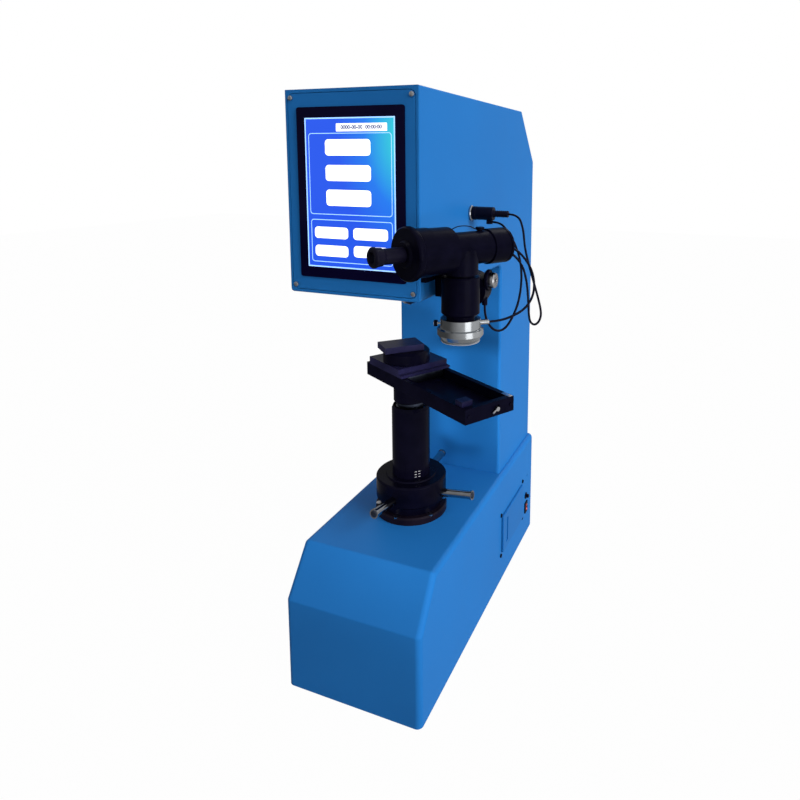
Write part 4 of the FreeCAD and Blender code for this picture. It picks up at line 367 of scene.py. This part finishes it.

# %% [markdown]
# A real screw head is domed and has a cross recess. The head is a short cylinder spun from its section, and
# the recess is pressed into the top: the top face is divided into a grid, and the faces of the cross go down.
# A boolean cut would do it too, with more faces and ragged edges. One head is made and copied to each place.
# The side cover's heads get the dark finish of the black steel parts.


# %% Cross-recess screw heads
def screw_head(radius, height):
    """A domed head on +Z with a cross-shaped recess."""
    mesh = bmesh.new()
    arm, depth = 0.14 * radius, 0.6 * height
    profile = [(radius, 0), (radius, height * 0.45), (radius * 0.85, height * 0.85), (radius * 0.62, height)]
    corners = [mesh.verts.new((r, 0, z)) for r, z in profile]
    edges = [mesh.edges.new(pair) for pair in zip(corners, corners[1:])]
    bmesh.ops.spin(mesh, geom=corners + edges, cent=(0, 0, 0), axis=(0, 0, 1), angle=2 * math.pi, steps=24,
                   use_merge=True)
    bmesh.ops.remove_doubles(mesh, verts=mesh.verts, dist=1e-7)
    loop = [edge for edge in mesh.edges if all(abs(v.co.z - height) < 1e-7 for v in edge.verts)]
    top = bmesh.ops.contextual_create(mesh, geom=loop)["faces"]
    for step in (-arm, arm):
        for normal in ((1, 0, 0), (0, 1, 0)):
            geometry = top + [e for f in top for e in f.edges] + [v for f in top for v in f.verts]
            cut_at = Vector(normal) * step + Vector((0, 0, height))
            bmesh.ops.bisect_plane(mesh, geom=list(set(geometry)), plane_co=cut_at, plane_no=normal)
            top = [f for f in mesh.faces if all(abs(v.co.z - height) < 1e-7 for v in f.verts)]
    middles = [(f, f.calc_center_median()) for f in top]
    cross = [f for f, middle in middles if min(abs(middle.x), abs(middle.y)) < arm]
    lowered = bmesh.ops.extrude_face_region(mesh, geom=cross)
    verts = [g for g in lowered["geom"] if isinstance(g, bmesh.types.BMVert)]
    bmesh.ops.delete(mesh, geom=cross, context="FACES_ONLY")
    bmesh.ops.translate(mesh, vec=(0, 0, -depth), verts=verts)
    return mesh


def scatter(name, make, places, material, body):
    """Copies one shape to several places; a place is (point, outward direction)."""
    whole = bmesh.new()
    for point, outward in places:
        part = make()
        turn = Vector(outward).to_track_quat("Z", "Y").to_matrix().to_4x4()
        bmesh.ops.transform(part, matrix=Matrix.Translation(point) @ turn, verts=part.verts)
        data = bpy.data.meshes.new("copy")
        part.to_mesh(data)
        part.free()
        whole.from_mesh(data)
        bpy.data.meshes.remove(data)
    return piece(name, whole, material, body)


SIDE_X = 0.1030
panel_heads = [((a * 0.0847, -0.2330, 0.6875 + b * 0.1182), (0, -1, 0)) for a in (-1, 1) for b in (-1, 1)]
rear_heads = [((a * 0.0745, 0.2550, 0.466 + b * 0.2385), (0, 1, 0)) for a in (-1, 1) for b in (-1, 0, 1)]
side_heads = [((SIDE_X, 0.125 + a * 0.0636, 0.085 + b * 0.0376), (1, 0, 0)) for a in (-1, 1) for b in (-1, 1)]
heads = scatter("cover_screw_heads", lambda: screw_head(0.0034, 0.0022), panel_heads + rear_heads + side_heads,
                bright_steel, "root")
heads.data.materials.append(black_steel)
for face in heads.data.polygons:
    face.material_index = int(face.center.x > SIDE_X - 0.003)
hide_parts("cover_screws")
print("screw heads", len(panel_heads + rear_heads + side_heads))

# %% [markdown]
# The elevating screw's thread shows between the sleeve and the boss, and more of it when the table is up. A
# thread is its section swept along a helix: bmesh's spin does that when each step also moves up, by the
# pitch divided by the steps. The pitch is the lead by which one turn of the handwheel lifts the table. Bump
# would be lighter, but the thread's outline shows against the white behind it, and bump leaves that straight.

# %% The elevating screw's thread
SCREW_AT = Vector((0, -0.0757, 0))
THREAD_R, THREAD_DEPTH, THREAD_PITCH = 0.0224, 0.0018, 0.006
THREAD_LOW, THREAD_HIGH = 0.099, 0.369


def threaded_rod(radius, depth, pitch, low, high, steps=40):
    """A screw: one tooth's outline, spun up along the axis."""
    mesh = bmesh.new()
    outline_points = [(radius - depth, 0), (radius - depth, pitch * 0.3), (radius, pitch * 0.45),
                      (radius, pitch * 0.85), (radius - depth, pitch)]
    corners = [mesh.verts.new((r, 0, low + z)) for r, z in outline_points]
    edges = [mesh.edges.new(pair) for pair in zip(corners, corners[1:])]
    turns = round((high - low) / pitch) - 1
    bmesh.ops.spin(mesh, geom=corners + edges, cent=(0, 0, 0), axis=(0, 0, 1), angle=2 * math.pi * turns,
                   dvec=(0, 0, pitch / steps), steps=steps * turns)
    bmesh.ops.remove_doubles(mesh, verts=mesh.verts, dist=1e-6)
    return mesh


thread = threaded_rod(THREAD_R, THREAD_DEPTH, THREAD_PITCH, THREAD_LOW, THREAD_HIGH)
core = bmesh.ops.create_cone(thread, cap_ends=True, segments=48, radius1=0.0206, radius2=0.0206, depth=0.2700)
bmesh.ops.translate(thread, vec=(0, 0, 0.2345), verts=core["verts"])
bmesh.ops.translate(thread, vec=SCREW_AT, verts=thread.verts)
thread_piece = piece("elevating_screw_thread", thread, worn_steel, "lift")
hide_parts("elevating_screw")
print("thread faces", len(thread_piece.data.polygons))

# %% [markdown]
# Grips are knurled: a wheel rolls fine ridges into them that run along the grip's axis. A knurl is a ring of
# edges that is drawn up three times, with every second corner pushed out on the middle two rows. Other round
# details are turned on a lathe, and spin does the same to a section.


# %% Knurled bands and spun details
def knurl(radius, depth, count, length):
    """A band of fine ridges round +Z, from z = 0 to length."""
    mesh = bmesh.new()
    bmesh.ops.create_circle(mesh, cap_ends=False, segments=2 * count, radius=radius)
    edges = mesh.edges[:]
    for lift, grow in ((0.1, 1), (0.8, 0), (0.1, -1)):
        up = bmesh.ops.extrude_edge_only(mesh, edges=edges)["geom"]
        ring = [g for g in up if isinstance(g, bmesh.types.BMVert)]
        edges = [e for e in up if isinstance(e, bmesh.types.BMEdge) and all(v in ring for v in e.verts)]
        bmesh.ops.translate(mesh, vec=(0, 0, lift * length), verts=ring)
        tips = [v for v in ring if round(math.atan2(v.co.y, v.co.x) / math.pi * count) % 2]
        wider = ((radius + depth) / radius) ** grow
        bmesh.ops.scale(mesh, vec=(wider, wider, 1), verts=tips)
    return mesh


def spun(profile, steps=48):
    """A surface of revolution round +Z, from (radius, height) corners."""
    mesh = bmesh.new()
    corners = [mesh.verts.new((r, 0, z)) for r, z in profile]
    edges = [mesh.edges.new(pair) for pair in zip(corners, corners[1:])]
    bmesh.ops.spin(mesh, geom=corners + edges, cent=(0, 0, 0), axis=(0, 0, 1), angle=2 * math.pi, steps=steps,
                   use_merge=True)
    bmesh.ops.remove_doubles(mesh, verts=mesh.verts, dist=1e-7)
    return mesh


# %% [markdown]
# The microscope's tube stands upright, and its body lies across it, turned by 60 degrees from the tester's
# width. A helper turns a distance along that body into a place, because its caps and rims all sit on the one
# axis. The focus knobs, the plug and the thumb screw have axes of their own.

# %% Grips
SCOPE_AT = Vector((0.1385, -0.214, 0.6252))
SCOPE_WAY = Vector((math.cos(math.radians(60)), math.sin(math.radians(60)), 0))


def along_scope(distance):
    """A point on the microscope body's axis, behind the tube (ahead of it when negative)."""
    return SCOPE_AT + SCOPE_WAY * distance


RIGHT = (1, 0, 0)
KNOB_Y, KNOB_Z = -0.178, 0.583
PLUG_Y, PLUG_Z = -0.068, 0.6563
THUMB_WAY = Vector((-0.94, -0.34, 0))
THUMB_AT = Vector((0.1385, -0.214, 0.5340)) + THUMB_WAY.normalized() * 0.0279


def knurled(name, at, way, radius, count, length, material, body, depth=0.0003):
    """One knurled band that starts at a point and runs in a direction."""
    return scatter(name, lambda: knurl(radius, depth, count, length), [(at, way)], material, body)


knurled("measuring_ring_knurl", along_scope(-0.0713), -SCOPE_WAY, 0.03115, 96, 0.0060, black_paint,
        "measuring_ring", depth=0.00035)
knurled("coarse_knob_knurl", (0.1597, KNOB_Y, KNOB_Z), RIGHT, 0.01295, 60, 0.0034, black_paint, "focus_knobs")
knurled("fine_knob_knurl", (0.1635, KNOB_Y, KNOB_Z), RIGHT, 0.00958, 54, 0.0052, bright_steel, "focus_knobs")
fine_cap = [(0.00960, 0.0002), (0.00960, 0.0064), (0.0086, 0.0078), (0.0030, 0.0078), (0.0026, 0.0074),
            (0, 0.0074)]
scatter("fine_knob_shell", lambda: spun(fine_cap), [((0.1632, KNOB_Y, KNOB_Z), RIGHT)], bright_steel,
        "focus_knobs")
knurled("thumb_screw_knurl", THUMB_AT, THUMB_WAY, 0.0036, 28, 0.0042, black_steel, "microscope")
knurled("socket_ring_knurl", (0.0944, PLUG_Y, PLUG_Z), RIGHT, 0.0105, 48, 0.0022, chrome, "root")
PLUG_RIBS = 6
ribs = [(0.0044, 0.0)]
for count in range(PLUG_RIBS):
    low = 0.0012 + 0.0029 * count
    ribs += [(0.0044, low), (0.0048, low + 0.0004), (0.0048, low + 0.0014), (0.0044, low + 0.0018)]
scatter("plug_boot_ribs", lambda: spun(ribs, 32), [((0.1322, PLUG_Y, PLUG_Z), RIGHT)], black_plastic, "root")
grip = [(0.00935, 0), (0.0096, 0.0003), (0.0096, 0.0050), (0.00935, 0.0053)]
scatter("plug_barrel_grip", lambda: spun(grip, 40), [((0.0985, PLUG_Y, PLUG_Z), RIGHT)], black_plastic, "root")
print("plug ribs", PLUG_RIBS)

# %% [markdown]
# The eyepiece has a shallow dome of dark glass as its lens, with a rubber rim round it. The ring light has a
# milky ring round its mouth, on the underside. Clear glass that bends the light would be truer, but nothing is
# seen through it, and a dark glossy dome looks the same and renders without grain.

# %% The eyepiece's lens and the ring light's diffuser
dome = [(0.0062, 0), (0.0050, 0.0006), (0.0034, 0.0010), (0.0017, 0.0012), (0, 0.00125)]
scatter("eyepiece_lens", lambda: spun(dome), [(along_scope(-0.1164), -SCOPE_WAY)], lens_glass, "eyepiece")
rim = [(0.01155, 0), (0.0118, 0.0004), (0.0118, 0.0026), (0.01155, 0.0030)]
scatter("eyepiece_rim", lambda: spun(rim), [(along_scope(-0.1171), -SCOPE_WAY)], rubber, "eyepiece")
diffuser_profile = [(0.0203, 0), (0.0208, 0.0005), (0.0236, 0.0005), (0.0241, 0)]
diffuser_at = Vector((0.1385, -0.214, 0.5132))
scatter("ring_light_diffuser", lambda: spun(diffuser_profile), [(diffuser_at, (0, 0, -1))], white_paint,
        "microscope")
print("diffuser at height", round(diffuser_at.z, 4))

# %% [markdown]
# The sliding table has a steel wiper under the carriage's low front plate. Two thin steel strips are painted
# highlights: one along the near lip of the rail, and a bright one at the far corner. The rail's own directions
# are turned by 30 degrees from the body's, so a helper turns along-rail and across-rail distances into places.
# A bar is a box with a bevel, because the highlight on a softened edge is what shows that it is steel.

# %% Bars on the rail
RAIL_TURN = math.radians(-30)


def rail_bar(name, along, across, heights, material, body, bevel=0.0003):
    """A bar with soft edges, given by its ranges along and across the rail and in height."""
    mesh = bmesh.new()
    bmesh.ops.create_cube(mesh, size=1)
    spans = [high - low for low, high in (along, across, heights)]
    middles = [(high + low) / 2 for low, high in (along, across, heights)]
    bmesh.ops.scale(mesh, vec=spans, verts=mesh.verts)
    bmesh.ops.bevel(mesh, geom=mesh.edges[:], offset=bevel, segments=2, profile=0.5, affect="EDGES",
                    material=-1)
    bmesh.ops.translate(mesh, vec=middles, verts=mesh.verts)
    bmesh.ops.rotate(mesh, cent=(0, 0, 0), matrix=Matrix.Rotation(RAIL_TURN, 3, "Z"), verts=mesh.verts)
    bmesh.ops.translate(mesh, vec=SCREW_AT, verts=mesh.verts)
    return piece(name, mesh, material, body)


# the lip and corner strips are painted highlights: thin steel sheets lying where light catches the rail
bars = [rail_bar("carriage_wiper", (0.0400, 0.0414), (-0.0315, 0.0315), (0.4100, 0.4206), worn_steel,
                 "carriage"),
        rail_bar("lip_highlight_strip", (0.0480, 0.0640), (-0.0412, -0.0368), (0.4198, 0.42015), worn_steel, "table",
                 bevel=0.0001),
        rail_bar("corner_highlight_strip", (0.1700, 0.1868), (0.0335, 0.0400), (0.4199, 0.4204), bright_steel, "table")]
print("bars", [bar.name for bar in bars])

# %% [markdown]
# The rocker carries the two usual marks, a line for on and a ring for off. The sleeve has a few short engraved
# ticks near its foot. They are filled with pale paint on the real tester. Here they are thin raised pieces,
# which stay sharp where a painted pattern would blur.

# %% Marks
ROCKER_Y = 0.212
TICK_LONG, TICK_WIDE, TICK_RISE, TICK_ROWS = 0.0032, 0.0005, 0.0042, 3
TICK_TURN = math.radians(46)
bar_mark = bmesh.new()
bmesh.ops.create_cube(bar_mark, size=1)
bmesh.ops.scale(bar_mark, vec=(0.0003, 0.0005, 0.0026), verts=bar_mark.verts)
bmesh.ops.bevel(bar_mark, geom=bar_mark.edges[:], offset=0.0001, segments=1, profile=0.5, affect="EDGES",
                material=-1)
rocker_lean = Matrix.Rotation(math.radians(-10), 3, "Y")
bmesh.ops.rotate(bar_mark, cent=(0, 0, 0), matrix=rocker_lean, verts=bar_mark.verts)
bmesh.ops.translate(bar_mark, vec=(0.10585, ROCKER_Y, 0.0612), verts=bar_mark.verts)
piece("rocker_on_mark", bar_mark, white_paint, "rocker")
ring_mark = [(0.0009, 0), (0.0009, 0.0002), (0.0013, 0.0002), (0.0013, 0)]
scatter("rocker_off_mark", lambda: spun(ring_mark, 24), [((0.1058, ROCKER_Y, 0.0550), (1, 0, 0.25))],
        white_paint, "rocker")
ticks = bmesh.new()
for row in range(TICK_ROWS):
    for aside in (-0.0028, 0.0028):
        made = bmesh.ops.create_cube(ticks, size=1)["verts"]
        bmesh.ops.scale(ticks, vec=(TICK_LONG, 0.0003, TICK_WIDE), verts=made)
        bmesh.ops.translate(ticks, vec=(aside, -0.02898, 0.2550 + TICK_RISE * row), verts=made)
bmesh.ops.rotate(ticks, cent=(0, 0, 0), matrix=Matrix.Rotation(TICK_TURN, 3, "Z"), verts=ticks.verts)
bmesh.ops.translate(ticks, vec=SCREW_AT, verts=ticks.verts)
piece("sleeve_ticks", ticks, white_paint, "handwheel")
print("tick rows", TICK_ROWS)

# %% [markdown]
# Each spoke of the handwheel ends in a slightly domed button of worn steel. The spokes stand a quarter turn
# apart, and lean up by 8 degrees from where they leave the wheel. The button is spun from five corners, because
# a flat end shows one dull tone and a domed one a highlight.

# %% Spoke caps
SPOKE_DIRECTIONS = [math.radians(-3.5 + 90 * quarter) for quarter in (-1, 0, 1)]
SPOKE_LEAN = math.radians(8)
SPOKE_FOOT_Z, SPOKE_REACH, SPOKE_OUTSIDE = 0.226, 0.106, 0.066
cap_profile = [(0.0050, -0.0002), (0.0050, 0.0003), (0.0043, 0.0010), (0.0026, 0.0014), (0, 0.0015)]
caps = []
for angle in SPOKE_DIRECTIONS:
    flat = Vector((math.cos(angle), math.sin(angle), 0)) * math.cos(SPOKE_LEAN)
    rise = SPOKE_FOOT_Z + SPOKE_OUTSIDE * math.sin(SPOKE_LEAN)
    tip = SCREW_AT + flat * SPOKE_REACH + Vector((0, 0, rise))
    caps.append((tip, flat + Vector((0, 0, math.sin(SPOKE_LEAN)))))
scatter("spoke_caps", lambda: spun(cap_profile, 32), caps, worn_steel, "handwheel")
print("spoke caps", len(caps))

# %% [markdown]
# A thin wire arches over the microscope's body, from the prism housing's shoulder to the foot of the top knob.
# It is a curve with a round bevel: a few points give a smooth arch, where a mesh would need many rings.

# %% The wire over the microscope
arch = bpy.data.curves.new("scope_wire", "CURVE")
arch.dimensions = "3D"
arch.bevel_depth = 0.0006
arch.bevel_resolution = 3
arch.use_fill_caps = True
arc = arch.splines.new("NURBS")
wire_points = [(-0.0170, 0.0225), (-0.0100, 0.0262), (0.0010, 0.0278), (0.0130, 0.0268), (0.0215, 0.0232),
               (0.0262, 0.0208)]
arc.points.add(len(wire_points) - 1)
for control, (distance, rise) in zip(arc.points, wire_points):
    control.co = (*(along_scope(distance) + Vector((0, 0, rise))), 1)
arc.use_endpoint_u = True
arc.order_u = 3
arch.materials.append(rubber)
wire = bpy.data.objects.new("scope_wire", arch)
bpy.context.scene.collection.objects.link(wire)
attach(wire, "microscope")
print("wire points", len(wire_points))

# %% [markdown]
# The three leads are thin and limp. A simulated rope could hang them, but it would never take quite the loops
# that they have in the picture. Each is a NURBS curve whose control points are the corners of the CAD tube's
# route, so the drawn lead lies where the solid is, and it stands in for that solid.

# %% The leads
MM = 0.001
LEAD_R = 0.0015


def lead(name, points, body):
    """One soft lead along a route given in millimetres, riding on the body that most of it hangs from."""
    curve = bpy.data.curves.new(name, "CURVE")
    curve.dimensions = "3D"
    curve.bevel_depth = LEAD_R
    curve.bevel_resolution = 4
    curve.use_fill_caps = True
    spline = curve.splines.new("NURBS")
    spline.points.add(len(points) - 1)
    for control, place in zip(spline.points, points):
        control.co = (*[c * MM for c in place], 1)
    spline.use_endpoint_u = True
    spline.order_u = 3
    spline.resolution_u = 8
    curve.materials.append(rubber)
    thing = bpy.data.objects.new(name, curve)
    bpy.context.scene.collection.objects.link(thing)
    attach(thing, body)
    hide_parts(name.replace("_cord", "_lead"))


lamp_route = [(150.4, -68, 656.3), (164.4, -68, 656.3), (175, -77, 639), (182, -92, 613), (194, -104, 585),
              (206, -112, 556), (214, -118, 534), (213, -121, 523), (207, -122, 516), (200, -122, 519),
              (198, -122, 530), (197, -122, 548), (195, -123, 573), (190, -128, 597),
              (176.786, -139.687, 615.2), (169.786, -151.811, 615.2)]
bracket_route = [(126.6, -68, 644.5), (138.6, -68, 644.5), (154, -78, 633), (169, -92, 617), (181, -106, 597),
                 (187, -120, 574), (188, -134, 550), (184, -148, 530), (176, -160, 515), (165, -171, 517),
                 (156.5, -178, 535), (156.5, -178, 551)]
ring_route = [(167.220, -193.134, 534), (178.546, -184.905, 534), (194, -176, 540), (206, -166, 548),
              (213, -156, 562), (212, -147, 580), (204, -141, 599), (185.812, -146.053, 621.2),
              (179.312, -157.311, 621.2)]
lead("lamp_cord", lamp_route, "microscope")
lead("bracket_cord", bracket_route, "root")
lead("ring_cord", ring_route, "microscope")

# %% [markdown]
# The light is that of a pale studio. The light that falls from its walls is pale above and on the right, and
# dim near the floor and on the left. Modelled walls could give that, but two ramps over the direction of a ray
# do it without a room.

# %% The surround's light
SIDE_STRENGTHS = (0.15, 1.05)
world = bpy.data.worlds.new("studio")
bpy.context.scene.world = world
world.use_nodes = True
tree = world.node_tree
link = tree.links.new
tree.nodes.clear()
out = tree.nodes.new("ShaderNodeOutputWorld")
direction = tree.nodes.new("ShaderNodeTexCoord")
split = tree.nodes.new("ShaderNodeSeparateXYZ")
link(direction.outputs["Generated"], split.inputs["Vector"])
heights = tree.nodes.new("ShaderNodeMapRange")
heights.inputs["From Min"].default_value = -1
link(split.outputs["Z"], heights.inputs["Value"])
sky = tree.nodes.new("ShaderNodeValToRGB")
sky.color_ramp.elements[0].position = 0.42
sky.color_ramp.elements[0].color = (0.07, 0.08, 0.10, 1)
sky.color_ramp.elements[1].position = 0.80
sky.color_ramp.elements[1].color = (0.66, 0.66, 0.66, 1)
link(heights.outputs["Result"], sky.inputs["Fac"])
sides = tree.nodes.new("ShaderNodeMapRange")
sides.inputs["From Min"].default_value = -0.7
sides.inputs["From Max"].default_value = 0.7
sides.inputs["To Min"].default_value = SIDE_STRENGTHS[0]
sides.inputs["To Max"].default_value = SIDE_STRENGTHS[1]
link(split.outputs["X"], sides.inputs["Value"])
soft = tree.nodes.new("ShaderNodeBackground")
link(sky.outputs["Color"], soft.inputs["Color"])
link(sides.outputs["Result"], soft.inputs["Strength"])
print("strength from left to right", SIDE_STRENGTHS)

# %% [markdown]
# The camera sees plain white behind the tester, also through glass. Metal sees a mix of that white and the
# studio's light, because chrome and black gloss look flat when everything round them is one white. The Light
# Path node tells which kind of ray asks.

# %% The white behind the tester
METAL_SEES_WHITE = 0.3
white = tree.nodes.new("ShaderNodeBackground")
white.inputs["Color"].default_value = (1, 1, 1, 1)
seen = tree.nodes.new("ShaderNodeLightPath")
in_metal = tree.nodes.new("ShaderNodeMath")
in_metal.operation = "MULTIPLY_ADD"
in_metal.inputs[1].default_value = METAL_SEES_WHITE
link(seen.outputs["Is Glossy Ray"], in_metal.inputs[0])
link(seen.outputs["Is Camera Ray"], in_metal.inputs[2])
through_glass = tree.nodes.new("ShaderNodeMath")
through_glass.use_clamp = True
link(in_metal.outputs[0], through_glass.inputs[0])
link(seen.outputs["Is Transmission Ray"], through_glass.inputs[1])
choose = tree.nodes.new("ShaderNodeMixShader")
link(through_glass.outputs[0], choose.inputs[0])
link(soft.outputs[0], choose.inputs[1])
link(white.outputs[0], choose.inputs[2])
link(choose.outputs[0], out.inputs["Surface"])
print("share of white in metal", METAL_SEES_WHITE)

# %% [markdown]
# One broad soft lamp from the tester's right makes the right side brighter than the front. A weak one from the
# front and one from behind keep the other sides from going black. These three stay out of mirror-like surfaces,
# where such large lamps would show as grey veils. Two small glints are seen only in such surfaces.


# %% Distant lamps
def lamp(name, strength, angle, direction_from, mirrored=False):
    """A distant soft lamp, either felt by matt surfaces or only seen in mirror-like ones."""
    data = bpy.data.lights.new(name, "SUN")
    data.energy = strength
    data.angle = math.radians(angle)
    thing = bpy.data.objects.new(name, data)
    thing.rotation_euler = Vector(direction_from).to_track_quat("Z", "Y").to_euler()
    thing.visible_glossy = mirrored
    thing.visible_diffuse = not mirrored
    bpy.context.scene.collection.objects.link(thing)


lamp("right_lamp", 3.4, 40, (0.90, -0.16, 0.40))
lamp("front_lamp", 0.62, 50, (-0.3, -0.9, 0.4))
lamp("rear_lamp", 1.0, 60, (-0.62, 0.70, 0.25))
lamp("top_glint", 0.28, 14, (-0.325, -0.20, 0.92), mirrored=True)
lamp("back_glint", 0.28, 14, (0.10, 0.81, 0.57), mirrored=True)
print("lamps", len(bpy.data.lights))

# %% [markdown]
# The head shades the throat under it. In the picture that place is lit by the pale walls, so two soft cones of
# light reach in from the front, and a narrow one brightens the low edge of the head's right side. A softbox on
# the right is seen only in gloss: it draws the bright streaks on the round metal parts.


# %% Throat lamps and the softbox
def throat_lamp(name, power, angle, place, target):
    """A soft cone of light from a place towards a target."""
    data = bpy.data.lights.new(name, "SPOT")
    data.energy = power
    data.shadow_soft_size = 0.12
    data.spot_size = math.radians(angle)
    data.spot_blend = 1.0
    thing = bpy.data.objects.new(name, data)
    thing.location = place
    thing.rotation_euler = (Vector(target) - Vector(place)).to_track_quat("-Z", "Y").to_euler()
    thing.visible_glossy = False
    bpy.context.scene.collection.objects.link(thing)


throat_lamp("throat_left", 20, 24, (-0.35, -1.05, 0.34), (0.03, 0, 0.35))
throat_lamp("throat_right", 32, 26, (0.42, -1.15, 0.30), (0.06, 0, 0.35))
throat_lamp("side_fill", 34, 9, (0.90, -0.90, 0.25), (0.094, -0.215, 0.565))

box = bpy.data.lights.new("softbox", "AREA")
box.shape = "RECTANGLE"
box.size = 1.0
box.size_y = 0.9
box.energy = 5.2
softbox = bpy.data.objects.new("softbox", box)
softbox.location = (1.61, -0.84, 0.46)
softbox.rotation_euler = Vector((1.47, -0.63, 0)).to_track_quat("Z", "Y").to_euler()
softbox.visible_diffuse = False
softbox.visible_camera = False
bpy.context.scene.collection.objects.link(softbox)
print("lamps", len(bpy.data.lights))

# %% [markdown]
# The floor looks almost as white as the surround to the camera and through glass, and keeps a faint shadow
# under the tester: most of what they see is plain white light, and a small share is a grey paint that takes
# the shadow. A shadow catcher could do that, but it needs a second layer in the picture.

# %% The floor's paint
FLOOR_WHITE = 0.985
floor_paint = finish("studio_floor", (0.29, 0.29, 0.29), (0.32, 0.32, 0.32), 0.8, patch=3, bump=0.0,
                     specular=0.1)
tree = floor_paint.node_tree
link = tree.links.new
lit = tree.nodes.new("ShaderNodeEmission")
lit.inputs["Color"].default_value = (1, 1, 1, 1)
seen = tree.nodes.new("ShaderNodeLightPath")
straight = tree.nodes.new("ShaderNodeMath")
straight.use_clamp = True
link(seen.outputs["Is Camera Ray"], straight.inputs[0])
link(seen.outputs["Is Transmission Ray"], straight.inputs[1])
share = tree.nodes.new("ShaderNodeMath")
share.operation = "MULTIPLY"
share.inputs[1].default_value = FLOOR_WHITE
blend = tree.nodes.new("ShaderNodeMixShader")
link(straight.outputs[0], share.inputs[0])
link(share.outputs[0], blend.inputs[0])
link(tree.nodes["Principled BSDF"].outputs[0], blend.inputs[1])
link(lit.outputs[0], blend.inputs[2])
print("share of white in the floor", FLOOR_WHITE)

# %% [markdown]
# In gloss the floor is a gradient, dim on the left and pale on the right, because over one white the dark
# parts would turn grey. The gradient is read across the floor, and only rays that left a glossy surface see it.

# %% The floor as gloss shows it
FLOOR_IN_GLOSS = (0.08, 0.75)
FLOOR_HALF = 6
floor_place = tree.nodes.new("ShaderNodeTexCoord")
floor_split = tree.nodes.new("ShaderNodeSeparateXYZ")
link(floor_place.outputs["Object"], floor_split.inputs["Vector"])
mirrored = tree.nodes.new("ShaderNodeMapRange")
mirrored.inputs["From Min"].default_value = -1.2
mirrored.inputs["From Max"].default_value = 2.0
mirrored.inputs["To Min"].default_value = FLOOR_IN_GLOSS[0]
mirrored.inputs["To Max"].default_value = FLOOR_IN_GLOSS[1]
link(floor_split.outputs["X"], mirrored.inputs["Value"])
dim = tree.nodes.new("ShaderNodeEmission")
link(mirrored.outputs["Result"], dim.inputs["Strength"])
reflected = tree.nodes.new("ShaderNodeMixShader")
link(seen.outputs["Is Glossy Ray"], reflected.inputs[0])
link(blend.outputs[0], reflected.inputs[1])
link(dim.outputs[0], reflected.inputs[2])
link(reflected.outputs[0], tree.nodes["Material Output"].inputs["Surface"])
floor_mesh = bmesh.new()
bmesh.ops.create_grid(floor_mesh, x_segments=1, y_segments=1, size=FLOOR_HALF)
floor_data = bpy.data.meshes.new("studio_floor")
floor_mesh.to_mesh(floor_data)
floor_mesh.free()
floor_data.materials.append(floor_paint)
floor = bpy.data.objects.new("studio_floor", floor_data)
bpy.context.scene.collection.objects.link(floor)
print("floor", 2 * FLOOR_HALF, "m wide")
